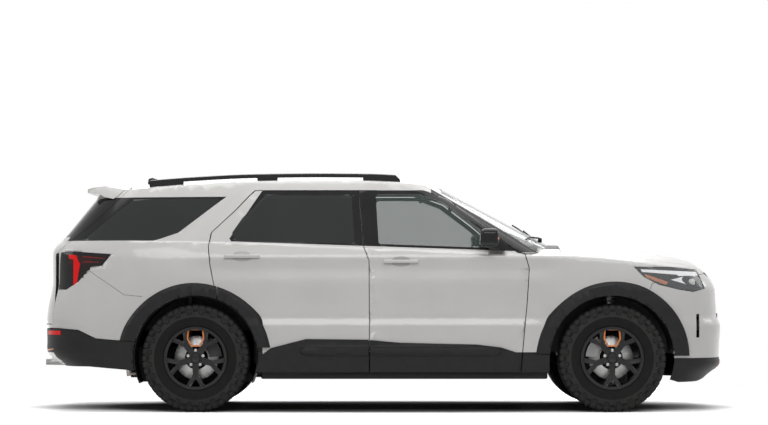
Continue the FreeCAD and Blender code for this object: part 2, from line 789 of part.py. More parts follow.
def underbody_piece():
    floor = block(rear_floor_x, bulkhead_x, -sill_inner + seat_gap, sill_inner - seat_gap,
                  floor_bottom, floor_top)
    tunnel = block(rear_floor_x, bulkhead_x, -150, 150, floor_top - 5, floor_top + 110)
    riser = block(rear_floor_x - 20, rear_floor_x, -sill_inner + 160, sill_inner - 160,
                  floor_bottom, rear_floor_z[1])
    rear_floor = block(-2400, rear_floor_x, -640, 640, *rear_floor_z)
    behind = side_stack(-cladding_set + 24 + seat_gap)
    boot_floor = block(-2400, rear_axle_x - 480, -840, 840, *rear_floor_z).common(behind)
    rear_panel = block(-2400, -2380, -760, 760, 400, rear_floor_z[1] + 8).common(behind)
    bulkhead = block(bulkhead_x, bulkhead_x + 14, -846, 846, floor_bottom, 1250).common(inner_body)
    for side in (-1, 1):
        y0, y1 = sorted((side * (sill_inner - seat_gap), side * far))
        bulkhead = bulkhead.cut(block(0, far, y0, y1, 0, sill_top + seat_gap))
    front_rail = side_prism([(500, 306), (500, 262), (1080, 262), (1230, 430), (2330, 430),
                             (2330, 540), (1180, 540), (1060, 340)], -rail_y[1], -rail_y[0])
    rear_rail = side_prism([(-700, 306), (-700, 262), (-980, 262), (-1100, 470), (-2395, 470),
                            (-2395, 562), (-975, 562), (-962, 306)], -600, -530)
    apron = block(bulkhead_x + 5, core_x[1], -apron_y[1], -apron_y[0], 430, 1000)
    tower = block(front_axle_x - 105, front_axle_x + 105, -770, -apron_y[0], 862, 1000)
    tower = tower.cut(bar(V(front_axle_x, -top_mount[0], 840), V(front_axle_x, -top_mount[0], 935), 62))
    fender_rail = plan_prism([(bulkhead_x + 2, -848), (1750, -848), (1800, -838), (1800, -1000),
                              (bulkhead_x + 2, -1000)], 1030, 1075).common(inner_body)
    tie = block(front_axle_x - 60, front_axle_x + 60, -870, -760, 985, 1045)
    house = wheelhouse(rear_axle_x, -846, -636, 12)
    house_wall = disc(rear_axle_x, axle_z, arch_radius + 12, -648, -636).common(
        block(-far, far, -far, 0, floor_bottom, far))
    sides = on_both_sides([front_rail, rear_rail, apron, tower, fender_rail, tie, house, house_wall])
    core = block(core_x[0], core_x[1], -620, 620, 425, 985).cut(
        block(0, far, -440, 440, 500, 930))
    radiator = block(core_x[0] + 2, core_x[1] - 4, -442, 442, 498, 932)
    front_beam = block(2300, far, -560, 560, 553, 591).common(side_stack(panel_wall + seat_gap))
    front_horns = on_both_sides([block(2255, 2420, -500, -440, 553, 591)])
    rear_beam = block(-far, -2390, -640, 640, 545, 600).common(behind)
    stops = on_both_sides([bar(V(2246, -500, 980), V(2246, -500, 1300), 14)])
    stops = [s.common(under(deck_height(hood_wall + seat_gap), xs_deck, ys_wide, 1500)) for s in stops]
    lamp_feet = on_both_sides([block(2100, core_x[1], -760, -560, 915, 975).common(
        side_stack(lamp_depth + seat_gap))])
    whole = floor.multiFuse([tunnel, riser, rear_floor, boot_floor, rear_panel, bulkhead] + sides
                            + [core, radiator, front_beam, rear_beam] + front_horns + stops
                            + lamp_feet)
    return whole.cut(rear_well).cut(flip(rear_well))


def cowl_piece():
    layer = lower_body(0.0).cut(lower_body(panel_wall))
    return layer.common(block(1040, hood_rear_x - shut_gap, -cowl_half + seat_gap,
                              cowl_half - seat_gap, 1000, far))


def front_liner_piece():
    liner = wheelhouse(front_axle_x, -925, -507, 7).common(block(-far, far, -far, 0, 420, far))
    liner = liner.common(side_stack(panel_wall + seat_gap))
    return liner.cut(bar(V(front_axle_x, -top_mount[0], 700), V(front_axle_x, -top_mount[0], 1000), 72))


# Wheels, knuckles and suspension

hub_y = 850.0
rim_half_width = 112.0
disc_y = (812.0, 838.0)
brake_radius = 160.0


def turned(profile, axle_x):
    """A ring turned about an axle from a closed outline of (radius, y) points."""
    wire = Part.makePolygon([V(axle_x, y, axle_z + r) for r, y in profile + profile[:1]])
    return Part.Face(wire).revolve(V(axle_x, 0, axle_z), V(0, 1, 0), 360)


def tyre_piece(axle_x):
    half = tyre_width / 2
    profile = [(rim_radius, -104), (262, -118), (310, -half), (352, -124), (380, -112),
               (tyre_radius - 2, -92), (tyre_radius, -60), (tyre_radius, 60),
               (tyre_radius - 2, 92), (380, 112), (352, 124), (310, half), (262, 118),
               (rim_radius, 104)]
    return turned([(r, y - wheel_y) for r, y in profile], axle_x)


def spoke(axle_x, angle):
    stem = [(-24, 40), (-20, 118), (-66, 196), (-60, 212), (-38, 216), (0, 142),
            (38, 216), (60, 212), (66, 196), (20, 118), (24, 40)]
    y0 = -wheel_y - 96
    wire = Part.makePolygon([V(axle_x + x, y0, axle_z + z) for x, z in stem + stem[:1]])
    shape = Part.Face(wire).extrude(V(0, 34, 0))
    shape.rotate(V(axle_x, 0, axle_z), V(0, 1, 0), angle)
    return shape


def rim_piece(axle_x):
    outer = rim_radius - seat_gap
    barrel = turned([(rim_radius - 22, -rim_half_width - wheel_y),
                     (outer, -rim_half_width - wheel_y), (outer, rim_half_width - wheel_y),
                     (rim_radius - 14, rim_half_width - wheel_y),
                     (rim_radius - 14, -60 - wheel_y)], axle_x)
    hub = turned([(0, -wheel_y - 92), (50, -wheel_y - 92), (70, -wheel_y - 78),
                  (74, -wheel_y - 4), (0, -wheel_y - 4)], axle_x)
    spokes = [spoke(axle_x, 180 + 72 * i) for i in range(5)]
    rotor = disc(axle_x, axle_z, brake_radius, -disc_y[1], -disc_y[0])
    hat = disc(axle_x, axle_z, 84, -hub_y - 8, -disc_y[1] + 2)
    return barrel.multiFuse([hub, hat, rotor] + spokes)


def caliper(axle_x, angle):
    pad = disc(axle_x, axle_z, 186, -disc_y[1] - 22, -disc_y[0] + 24).cut(
        disc(axle_x, axle_z, 96, -far, 0))
    pad = pad.common(side_prism([(axle_x, axle_z), (axle_x + 300, axle_z + 150),
                                 (axle_x + 300, axle_z - 150)], -far, 0))
    pad = pad.cut(disc(axle_x, axle_z, brake_radius + 6, -disc_y[1] - 5, -disc_y[0] + 5))
    pad = pad.fuse(block(axle_x + 30, axle_x + 125, -disc_y[0] + 6, -disc_y[0] + 22, axle_z - 26,
                         axle_z + 26))
    pad.rotate(V(axle_x, 0, axle_z), V(0, 1, 0), -angle)
    return pad


def steer_ball(axle_x, z, radius):
    """A ball whose centre lies on the line that the wheel steers about."""
    share = (z - ball_joint[1]) / (top_mount[1] - ball_joint[1])
    y = ball_joint[0] + share * (top_mount[0] - ball_joint[0])
    return Part.makeSphere(radius, V(axle_x, -y, z))


def knuckle_piece(axle_x):
    bearing = disc(axle_x, axle_z, 58, -disc_y[0] + 5, -722)
    spindle = disc(axle_x, axle_z, 30, -disc_y[0] + seat_gap, -790)
    boot = disc(axle_x, axle_z, 36, -724, -690)
    foot = lower_ball[0]
    plate = front_prism([(-836, foot), (-770, foot), (-768, 400), (-722, 470), (-690, 540),
                         (-636, 540), (-636, 600), (-692, 600), (-740, 520), (-790, 440),
                         (-800, 300), (-804, 227), (-836, 227)], axle_x - 24, axle_x + 24)
    plate = plate.cut(steer_ball(axle_x, foot, lower_ball[1] + seat_gap))
    strut = bar(V(axle_x, -662, 500), V(axle_x, -top_mount[0], 760), 26)
    rod = bar(V(axle_x, -top_mount[0], 740), V(axle_x, -top_mount[0], top_mount[1] + 5), 11)
    rod = rod.fuse(steer_ball(axle_x, *upper_ball))
    seat = bar(V(axle_x, -top_mount[0] - 1, 700), V(axle_x, -top_mount[0] - 1, 712), 52)
    spring = [Part.makeTorus(44, 7, V(axle_x, -top_mount[0], 724 + 28 * i)) for i in range(6)]
    guide = bar(V(axle_x, -top_mount[0], 710), V(axle_x, -top_mount[0], 872), 38)
    return bearing.multiFuse([spindle, boot, plate, strut, rod, seat, guide, caliper(axle_x, 150)] + spring)


def lower_arm(axle_x):
    plan = [(-12, -836), (-12, -620), (-97, -460), (-57, -460), (0, -560), (57, -460), (97, -460),
            (12, -620), (12, -836)]
    arm = plan_prism([(axle_x + x, y) for x, y in plan], 188, 206)
    ball = steer_ball(axle_x, *lower_ball)
    y = ball.CenterOfGravity.y
    stud = bar(V(axle_x, y, 200), V(axle_x, y, lower_ball[0]), 4.5)
    return arm.multiFuse([stud, ball])


def front_suspension_piece():
    cradle = rounded(front_axle_x - 190, front_axle_x + 150, -470, 470, 198, 262, 10)
    top = 430 - seat_gap
    legs = on_both_sides([block(front_axle_x - 180, front_axle_x - 130, -495, -440, 255, top),
                          block(front_axle_x + 90, front_axle_x + 140, -495, -440, 255, top)])
    arms = on_both_sides([lower_arm(front_axle_x)])
    rack = bar(V(front_axle_x - 150, -420, 282), V(front_axle_x - 150, 420, 282), 28)
    shafts = on_both_sides([bar(V(front_axle_x, -400, axle_z), V(front_axle_x, -630, axle_z), 15)])
    inner = on_both_sides([bar(V(front_axle_x, -engine_half - seat_gap, axle_z),
                               V(front_axle_x, -410, axle_z), 42)])
    feet = on_both_sides([block(front_axle_x - 20, front_axle_x + 20, -385, -345, 255, 380)])
    return cradle.multiFuse(legs + arms + [rack] + shafts + inner + feet)


def rear_suspension_piece():
    cradle = rounded(rear_axle_x - 170, rear_axle_x + 170, -520, 520, 300, 350, 10)
    legs = on_both_sides([block(rear_axle_x - 160, rear_axle_x - 110, -590, -505, 345, 470 - seat_gap),
                          block(rear_axle_x + 110, rear_axle_x + 160, -590, -505, 345, 470 - seat_gap),
                          block(rear_axle_x - 160, rear_axle_x - 110, -590, -500, 305, 350),
                          block(rear_axle_x + 110, rear_axle_x + 160, -590, -500, 305, 350)])
    final_drive = rounded(rear_axle_x - 120, rear_axle_x + 130, -130, 130, 300, 470, 30)
    shafts = on_both_sides([bar(V(rear_axle_x, -100, axle_z), V(rear_axle_x, -760, axle_z), 15)])
    sides = []
    for place in (lambda s: s, flip):
        sides.append(place(disc(rear_axle_x, axle_z, 58, -disc_y[0] + 5, -722)))
        sides.append(place(disc(rear_axle_x, axle_z, 30, -disc_y[0] + seat_gap, -790)))
        sides.append(place(block(rear_axle_x - 30, rear_axle_x + 30, -792, -735, 240, 470)))
        sides.append(place(bar(V(rear_axle_x - 60, -460, 325), V(rear_axle_x - 24, -765, 256), 17)))
        sides.append(place(bar(V(rear_axle_x + 150, -530, 325), V(rear_axle_x + 20, -760, 300), 14)))
        sides.append(place(bar(V(rear_axle_x - 60, -685, 268), V(rear_axle_x - 60, -685, 838), 24)))
        sides.append(place(caliper(rear_axle_x, 30)))
    return cradle.multiFuse(legs + [final_drive] + shafts + sides)


def exhaust_piece():
    pipe = bar(V(1100, 60, 252), V(-900, 60, 252), 30)
    rise = bar(V(-900, 60, 252), V(-1150, -240, 262), 30)
    back = bar(V(-1150, -240, 262), V(-1900, -300, 262), 30)
    box = rounded(-2290, -1880, -560, -200, 330, 440, 40)
    middle = rounded(-400, 100, 0, 120, 212, 292, 30)
    joint = Part.makeSphere(31, V(-900, 60, 252))
    joint2 = Part.makeSphere(31, V(-1150, -240, 262))
    rear = bar(V(-1900, -300, 245), V(-1920, -300, 380), 30)
    hanger = block(rear_axle_x - 20, rear_axle_x + 20, -277, -237, 262, 300 - seat_gap)
    return pipe.multiFuse([rise, back, box, middle, joint, joint2, rear, hanger])


engine_half = 330.0


def engine_piece():
    return rounded(1330, 1985, -engine_half, engine_half, 372, 1010, 30)


# Inside

def cushion(x0, x1, y0, y1, z0, z1, radius=45.0):
    return rounded(x0, x1, y0, y1, z0, z1, radius)


def seat_back(x, z, height, y0, y1, lean, thick):
    back = rounded(x - thick, x, y0, y1, z, z + height, 38)
    back.rotate(V(x - thick / 2, 0, z), V(0, 1, 0), -lean)
    return back


def seat_pair(x, seat_z, half_gap, width, legs_z):
    shapes = []
    for side in (-1, 1):
        y0, y1 = sorted((side * half_gap, side * (half_gap + width)))
        base = cushion(x - 500, x, y0, y1, seat_z, seat_z + 130)
        back = seat_back(x - 400, seat_z + 60, 620, y0 + 15, y1 - 15, 18, 120)
        head = rounded(x - 700, x - 610, (y0 + y1) / 2 - 130, (y0 + y1) / 2 + 130,
                       seat_z + 690, seat_z + 850, 36)
        post = bar(V(x - 590, (y0 + y1) / 2, seat_z + 560), V(x - 655, (y0 + y1) / 2, seat_z + 760), 12)
        frame = block(x - 430, x - 60, y0 + 60, y1 - 60, legs_z + seat_gap, seat_z + 20)
        shapes.append(base.multiFuse([back, head, post, frame]))
    return Part.makeCompound(shapes)


def bench(x, seat_z, half, legs_z, heads, height):
    base = cushion(x - 460, x, -half, half, seat_z, seat_z + 120)
    back = seat_back(x - 370, seat_z + 50, height, -half + 10, half - 10, 20, 110)
    parts = [back]
    for y0, y1 in ((-half + 60, -180), (180, half - 60)):
        parts.append(block(x - 400, x - 60, y0, y1, legs_z + seat_gap, seat_z + 20))
    top_x = x - 400 - height * 0.34
    for y in heads:
        parts.append(rounded(top_x - 95, top_x - 10, y - 120, y + 120, seat_z + height + 60,
                             seat_z + height + 190, 34))
        parts.append(bar(V(top_x + 10, y, seat_z + height - 60), V(top_x - 50, y, seat_z + height + 110), 12))
    return base.multiFuse(parts)


def dashboard_piece():
    profile = [(1149, 620), (1149, 1085), (1080, 1105), (820, 1100), (790, 1070), (800, 960),
               (860, 900), (880, 640)]
    dash = side_prism(profile, -790, 790)
    dash = dash.makeFillet(24, [e for e in dash.Edges if e.BoundBox.YLength > 1500])
    dash = dash.common(side_stack(post_inner + 4))
    console = rounded(250, 980, -130, 130, floor_top + 110 + seat_gap, 680, 24)
    column = bar(V(*column_start), V(*column_end), 34)
    spindle = bar(V(*column_end), V(*spindle_end), 12)
    return dash.multiFuse([console, column, spindle])


wheel_centre = (640.0, 385.0, 1035.0)
column_tilt = 24.0
column_dir = (-math.cos(math.radians(column_tilt)), 0.0, math.sin(math.radians(column_tilt)))


def on_column(distance):
    return tuple(c + d * distance for c, d in zip(wheel_centre, column_dir))


column_start = on_column(-300)
column_end = on_column(-52)
spindle_end = on_column(-30.3)


def steering_wheel_piece():
    axis = V(*column_dir)
    rim = Part.makeTorus(178, 15, V(0, 0, 0), V(0, 0, 1))
    hub = Part.makeCylinder(58, 50, V(0, 0, -30))
    spokes = [block(-178, 178, -20, 20, -10, 8), block(-20, 20, -178, 0, -10, 8)]
    wheel = rim.multiFuse([hub] + spokes)
    wheel.Placement = FreeCAD.Placement(V(*wheel_centre), FreeCAD.Rotation(V(0, 0, 1), axis))
    return wheel


# Roof rails and mirrors

rail_ends = (-1730.0, 120.0)
rail_gaps = [(-1480, -935), (-785, -155)]
rail_height = 46.0
rail_slot = 20.0
rail_span = (602.0, 636.0)


def roof_rail():
    strip = block(*rail_ends, -rail_span[1], -rail_span[0], 1500, far)
    rail = strip.common(under(roof_height(-rail_height), xs_roof, ys_wide, 400))
    rail = rail.cut(under(roof_height(-seat_gap), xs_roof, ys_wide, 400))
    for x0, x1 in rail_gaps:
        slot = block(x0, x1, -far, 0, 1500, far)
        rail = rail.cut(slot.common(under(roof_height(-rail_slot), xs_roof, ys_wide, 400)))
    nose = side_prism([(rail_ends[1] - 90, 1900), (rail_ends[1] - 90, 1790), (rail_ends[1], 1700),
                       (rail_ends[1] + 50, 1700), (rail_ends[1] + 50, 1900)], -far, 0)
    return rail.cut(nose)


def mirror_piece():
    head = rounded(690, 830, -1130, -972, 1196, 1330, 40)
    head = head.cut(block(600, 694, -1116, -986, 1210, 1316))
    arm = side_prism([(760, 1178), (880, 1178), (850, 1214), (760, 1214)], -1010, -900)
    mirror = head.fuse(arm)
    return mirror.cut(lower_body(-seat_gap)).cut(cabin(-seat_gap))


# Every piece is written to its own file

plain = {
    "roof_panel": roof,
    "hood": hood,
    "cowl_panel": cowl_piece(),
    "liftgate": liftgate,
    "liftgate_glass": glass_layer.common(gate_glass_prism(pane_clear)),
    "windscreen": screen_piece(),
    "front_bumper": front_bumper,
    "front_bumper_lower": front_low_piece(),
    "grille": grille_piece(),
    "intake_mesh": intake_piece(),
    "headlamps": headlamps,
    "taillamps": taillamps,
    "rear_bumper": rear_bumper_piece(),
    "rear_bumper_lower": rear_low_piece(),
    "underbody": underbody_piece(),
    "engine": engine_piece(),
    "front_suspension": front_suspension_piece(),
    "rear_suspension": rear_suspension_piece(),
    "exhaust": exhaust_piece(),
    "dashboard": dashboard_piece(),
    "steering_wheel": steering_wheel_piece(),
    "front_seats": seat_pair(400.0, 560.0, 170.0, 520.0, floor_top),
    "second_row_seat": bench(-430.0, 600.0, 660.0, floor_top, (-440, 0, 440), 560.0),
    "third_row_seat": bench(-1330.0, 740.0, 560.0, rear_floor_z[1], (-300, 300), 470.0),
}
mirrored_pairs = {
    "roof_rails": roof_rail(),
    "quarter_glasses": pane(quarter_window, glass_right),
    "arch_flares": Part.makeCompound([front_flare, rear_flare_body, fender_sill_trim]),
    "arch_liners": front_liner_piece(),
}
each_side = {
    "side_frame": side_frame,
    "fender": fender,
    "front_door": in_two(front_door, post_turns[0]),
    "rear_door": in_two(rear_door, post_turns[1]),
    "front_door_glass": pane(front_window, glass_right),
    "rear_door_glass": pane(rear_window, glass_right),
    "front_door_trim": front_trim,
    "rear_door_trim": rear_trim,
    "mirror": mirror_piece(),
    "front_knuckle": knuckle_piece(front_axle_x),
    "front_tyre": tyre_piece(front_axle_x),
    "front_rim": rim_piece(front_axle_x),
    "rear_tyre": tyre_piece(rear_axle_x),
    "rear_rim": rim_piece(rear_axle_x),
}
for name, piece in plain.items():
    save(name, piece)
for name, piece in mirrored_pairs.items():
    save(name, Part.makeCompound([piece, flip(piece)]))
for name, piece in each_side.items():
    save(name + "_right", piece)
    save(name + "_left", flip(piece))
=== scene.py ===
import json
import math
import bmesh
import bpy
from mathutils import Matrix, Vector


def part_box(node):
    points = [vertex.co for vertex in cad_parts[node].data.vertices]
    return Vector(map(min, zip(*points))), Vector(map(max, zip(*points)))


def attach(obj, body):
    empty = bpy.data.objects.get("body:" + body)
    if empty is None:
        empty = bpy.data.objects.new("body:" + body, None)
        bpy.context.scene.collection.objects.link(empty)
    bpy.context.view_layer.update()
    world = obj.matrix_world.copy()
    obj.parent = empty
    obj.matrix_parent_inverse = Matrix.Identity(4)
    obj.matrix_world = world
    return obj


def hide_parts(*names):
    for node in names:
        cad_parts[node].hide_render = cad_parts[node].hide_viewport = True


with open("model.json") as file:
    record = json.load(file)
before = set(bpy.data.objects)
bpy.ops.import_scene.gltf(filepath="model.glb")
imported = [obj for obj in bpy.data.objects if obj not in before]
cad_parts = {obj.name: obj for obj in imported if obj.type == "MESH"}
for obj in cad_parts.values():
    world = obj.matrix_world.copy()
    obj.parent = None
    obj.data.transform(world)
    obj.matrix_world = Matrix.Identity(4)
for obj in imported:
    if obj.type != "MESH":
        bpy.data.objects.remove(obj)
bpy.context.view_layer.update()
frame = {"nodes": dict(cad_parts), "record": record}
nodes = frame["nodes"]
bodies = frame["record"]["behaviour"]["bodies"]
bodyOf = {node: body for body, members in bodies.items() for node in members}
sides = {"right": -1, "left": 1}  # the side of the car and its sign in Y
scene = bpy.context.scene
print("stage: frame loaded,", len(nodes), "nodes")

# Finishes: slot, colour, second colour for the slow mottling, gloss, and the sizes of mottling and grain


def mix(slot, colour, second, rough, patch, grain, bump, **more):
    return dict(more, slot=slot, colour=colour, second=second, rough=rough, patch=patch, grain=grain, bump=bump)


finishes = {
    "bodyPaint": mix("body_paint", (0.56, 0.553, 0.538), (0.53, 0.523, 0.508), 0.34, 2.5, 1400, 0.01, coat=0.55),
    # body paint made darker: painted shade for the hollows behind the door handles
    "paintedRecessShade": mix("body_paint", (0.4, 0.395, 0.383), (0.37, 0.365, 0.355), 0.4, 2.5, 1400, 0.01, coat=0.3),
    "trimBlack": mix("black_trim", (0.007, 0.007, 0.0075), (0.011, 0.011, 0.0115), 0.5, 14, 900, 0.25, spec=0.2),
    "glossBlack": mix("gloss_black", (0.005, 0.005, 0.0055), (0.008, 0.008, 0.0085), 0.16, 5, 300, 0.01, spec=0.2,
            coat=0.12),
    "clearGlass": mix("clear_glass", (0.07, 0.1, 0.09), (0.08, 0.11, 0.1), 0.03, 2, 60, 0.003, spec=0.3, alpha=0.32,
            coat=0.3),
    "privacyGlass": mix("privacy_glass", (0.012, 0.0135, 0.0135), (0.016, 0.0175, 0.0175), 0.04, 2, 60, 0.003,
            spec=0.25, alpha=0.9, coat=0.3),
    "lampClear": mix("lamp_clear", (0.5, 0.52, 0.53), (0.45, 0.47, 0.48), 0.03, 30, 160, 0.02, alpha=0.22, coat=1.0),
    "lampRed": mix("lamp_red", (0.62, 0.006, 0.006), (0.5, 0.004, 0.004), 0.25, 40, 220, 0.15, spec=0.2, glow=0.25),
    "lampDim": mix("lamp_red", (0.2, 0.012, 0.01), (0.15, 0.008, 0.008), 0.25, 40, 220, 0.1, spec=0.2, coat=0.15),
    "lampDark": mix("lamp_red", (0.022, 0.003, 0.003), (0.035, 0.004, 0.004), 0.2, 30, 200, 0.05, spec=0.2, coat=0.15),
    "structure": mix("structure", (0.035, 0.035, 0.036), (0.05, 0.05, 0.05), 0.62, 9, 260, 0.12),
    "castAlloy": mix("cast_alloy", (0.28, 0.28, 0.28), (0.2, 0.195, 0.19), 0.45, 16, 500, 0.18, metal=0.9),
    "wheelBlack": mix("wheel_black", (0.004, 0.004, 0.0045), (0.007, 0.007, 0.0075), 0.3, 12, 800, 0.03, spec=0.25,
            coat=0.12),
    "tyreRubber": mix("tyre_rubber", (0.006, 0.006, 0.006), (0.01, 0.01, 0.0095), 0.7, 18, 700, 0.2, spec=0.12),
    "tyreSide": mix("tyre_rubber", (0.024, 0.024, 0.0235), (0.034, 0.0335, 0.033), 0.75, 18, 700, 0.2, spec=0.15),
    "seatCover": mix("seat_cover", (0.03, 0.03, 0.032), (0.042, 0.041, 0.042), 0.58, 7, 520, 0.35, sheen=0.2),
    "softTrim": mix("soft_trim", (0.035, 0.035, 0.037), (0.048, 0.047, 0.048), 0.7, 8, 620, 0.3),
    "steelPipe": mix("steel_pipe", (0.33, 0.32, 0.3), (0.2, 0.17, 0.14), 0.38, 9, 400, 0.08, metal=1.0),
    "engineBlock": mix("engine_block", (0.16, 0.16, 0.165), (0.11, 0.11, 0.11), 0.5, 10, 350, 0.2, metal=0.7),
    "discIron": mix("cast_alloy", (0.34, 0.34, 0.335), (0.26, 0.255, 0.25), 0.34, 20, 900, 0.05, metal=1.0),
    "orange": mix("black_trim", (0.72, 0.2, 0.01), (0.62, 0.15, 0.008), 0.32, 20, 700, 0.03, coat=0.5),
    "silver": mix("black_trim", (0.42, 0.42, 0.41), (0.36, 0.36, 0.355), 0.36, 12, 800, 0.03, metal=0.6, coat=0.3),
    "whiteLamp": mix("lamp_clear", (0.85, 0.86, 0.86), (0.76, 0.78, 0.78), 0.15, 60, 300, 0.1, glow=0.25, coat=0.5),
    "amberLamp": mix("lamp_clear", (0.62, 0.2, 0.05), (0.5, 0.13, 0.03), 0.12, 90, 320, 0.3, coat=0.8),
    "mirrorFace": mix("gloss_black", (0.7, 0.72, 0.73), (0.66, 0.68, 0.69), 0.03, 2, 60, 0.002, metal=1.0),
    "plateBlank": mix("black_trim", (0.62, 0.62, 0.61), (0.56, 0.56, 0.55), 0.4, 10, 600, 0.05, metal=0.4),
    "screenGlass": mix("soft_trim", (0.008, 0.009, 0.011), (0.011, 0.012, 0.015), 0.1, 4, 200, 0.004, coat=0.8),
    "headlining": mix("soft_trim", (0.3, 0.295, 0.285), (0.26, 0.255, 0.245), 0.9, 10, 900, 0.3, sheen=0.3),
    "carpet": mix("soft_trim", (0.02, 0.02, 0.021), (0.036, 0.035, 0.035), 0.95, 40, 1100, 0.8, sheen=0.3),
}
made = {}


def newNode(tree, kind, **sockets):
    node = tree.nodes.new("ShaderNode" + kind)
    for name, value in sockets.items():
        node.inputs[name].default_value = value
    return node


def mapped(tree, value, ends):  # the value's range moved to other ends
    node = newNode(tree, "MapRange", **ends)
    tree.links.new(value, node.inputs["Value"])
    return node.outputs["Result"]


def operated(tree, kind, operation, *values):
    node = newNode(tree, kind)
    node.operation = operation
    for socket, value in zip(node.inputs, values):
        if isinstance(value, bpy.types.NodeSocket):
            tree.links.new(value, socket)
        else:
            socket.default_value = value
    return node


def makeFinish(name, look):
    material = bpy.data.materials.new(name)
    material.use_nodes = True
    tree = material.node_tree
    link = tree.links.new
    shader = tree.nodes["Principled BSDF"]
    place = newNode(tree, "TexCoord").outputs["Object"]
    patches = newNode(tree, "TexNoise", Scale=look["patch"], Detail=6.0, Roughness=0.6)
    link(place, patches.inputs["Vector"])
    blend = newNode(tree, "Mix")
    blend.data_type = "RGBA"
    blend.inputs[6].default_value = (*look["colour"], 1)
    blend.inputs[7].default_value = (*look["second"], 1)
    link(mapped(tree, patches.outputs["Fac"], {"From Min": 0.35, "From Max": 0.65}), blend.inputs[0])
    link(blend.outputs[2], shader.inputs["Base Color"])
    gloss = {"To Min": look["rough"] * 0.88, "To Max": look["rough"] * 1.12}
    link(mapped(tree, patches.outputs["Fac"], gloss), shader.inputs["Roughness"])
    grain = newNode(tree, "TexNoise", Scale=look["grain"], Detail=2.0)
    link(place, grain.inputs["Vector"])
    raised = newNode(tree, "Bump", Strength=look["bump"], Distance=0.001)
    link(grain.outputs["Fac"], raised.inputs["Height"])
    link(raised.outputs["Normal"], shader.inputs["Normal"])
    plain = {"Metallic": look.get("metal", 0.0), "Coat Weight": look.get("coat", 0.0), "Coat Roughness": 0.04,
            "Sheen Weight": look.get("sheen", 0.0), "Alpha": look.get("alpha", 1.0),
            "Specular IOR Level": look.get("spec", 0.5)}
    for name, value in plain.items():
        shader.inputs[name].default_value = value
    if look.get("glow"):
        shader.inputs["Emission Color"].default_value = (*look["colour"], 1)
        shader.inputs["Emission Strength"].default_value = look["glow"]
    return material


for name, look in finishes.items():
    made[name] = makeFinish(name, look)
print("stage: finishes made,", len(made))

# Small helpers, used as by hand: select one thing, shape it, settle it at the origin


def pickOnly(piece):
    bpy.ops.object.select_all(action="DESELECT")
    piece.select_set(True)
    bpy.context.view_layer.objects.active = piece


def editing(piece, picked="SELECT"):
    pickOnly(piece)
    bpy.ops.object.mode_set(mode="EDIT")
    bpy.ops.mesh.select_all(action=picked)


def leaveEditing():
    bpy.ops.object.mode_set(mode="OBJECT")


def turnOutward(piece):
    editing(piece)
    bpy.ops.mesh.normals_make_consistent(inside=False)
    leaveEditing()


def placed(name, data):
    thing = bpy.data.objects.new(name, data)
    scene.collection.objects.link(thing)
    return thing


def settle(piece):
    pickOnly(piece)
    bpy.ops.object.transform_apply(location=True, rotation=True, scale=True)


def lastAdded(name):
    piece = bpy.context.object
    piece.name = name
    piece.data.name = name
    settle(piece)
    return piece


def added(name, operator, **settings):
    bpy.ops.object.select_all(action="DESELECT")
    operator(**settings)
    return lastAdded(name)


def newGrid(name, cells):
    return added(name, bpy.ops.mesh.primitive_grid_add, x_subdivisions=cells[0], y_subdivisions=cells[1], size=2)


def softBlock(name, centre, size, radius=0.004, turn=(0, 0, 0), steps=2):
    piece = added(name, bpy.ops.mesh.primitive_cube_add, size=1)
    piece.scale = size
    settle(piece)
    editing(piece)
    bpy.ops.mesh.bevel(offset=min(radius, min(size) * 0.45), segments=steps, affect="EDGES")
    leaveEditing()
    piece.rotation_euler = turn
    piece.location = centre
    settle(piece)
    return piece


def roundBar(name, start, end, radius, sides=24, bevel=0.002):
    way = Vector(end) - Vector(start)
    piece = added(name, bpy.ops.mesh.primitive_cylinder_add, vertices=sides, radius=radius, depth=way.length)
    editing(piece, "DESELECT")
    leaveEditing()
    for face in piece.data.polygons:
        face.select = abs(face.normal.z) > 0.9
    bpy.ops.object.mode_set(mode="EDIT")
    bpy.ops.mesh.select_mode(type="FACE")
    bpy.ops.mesh.bevel(offset=min(bevel, radius * 0.4), segments=2, affect="EDGES")
    leaveEditing()
    piece.rotation_euler = way.to_track_quat("Z", "Y").to_euler()
    piece.location = (Vector(start) + Vector(end)) / 2
    settle(piece)
    return piece


def outlineChain(name, points):
    piece = added(name, bpy.ops.mesh.primitive_plane_add, size=0.002, location=points[0])
    editing(piece)
    bpy.ops.mesh.select_mode(type="VERT")
    bpy.ops.mesh.merge(type="CENTER")
    for here, there in zip(points, points[1:]):
        step = tuple(b - a for a, b in zip(here, there))
        bpy.ops.mesh.extrude_region_move(TRANSFORM_OT_translate={"value": step})
    bpy.ops.mesh.select_all(action="SELECT")
    return piece


def plate(name, corners, depth, bevel=0.0, inset=0.0):
    piece = outlineChain(name, corners)
    bpy.ops.mesh.edge_face_add()
    if inset:
        bpy.ops.mesh.inset(thickness=inset, depth=0)
        bpy.ops.mesh.delete(type="FACE")
        bpy.ops.mesh.select_all(action="SELECT")
    bpy.ops.mesh.extrude_region_move(TRANSFORM_OT_translate={"value": depth})
    bpy.ops.mesh.select_all(action="SELECT")
    bpy.ops.mesh.normals_make_consistent(inside=False)
    leaveEditing()
    if bevel:
        finishWith(piece, "BEVEL", width=bevel, segments=2, limit_method="ANGLE", angle_limit=math.radians(40))
    return piece


def turned(name, profile, centre, steps=96):
    points = [(centre[0], centre[1] + y, centre[2] + r) for r, y in profile]
    piece = outlineChain(name, points)
    bpy.ops.mesh.spin(steps=steps, angle=2 * math.pi, center=centre, axis=(0, 1, 0))
    bpy.ops.mesh.select_all(action="SELECT")
    bpy.ops.mesh.remove_doubles(threshold=0.00002)
    bpy.ops.mesh.normals_make_consistent(inside=False)
    leaveEditing()
    return piece


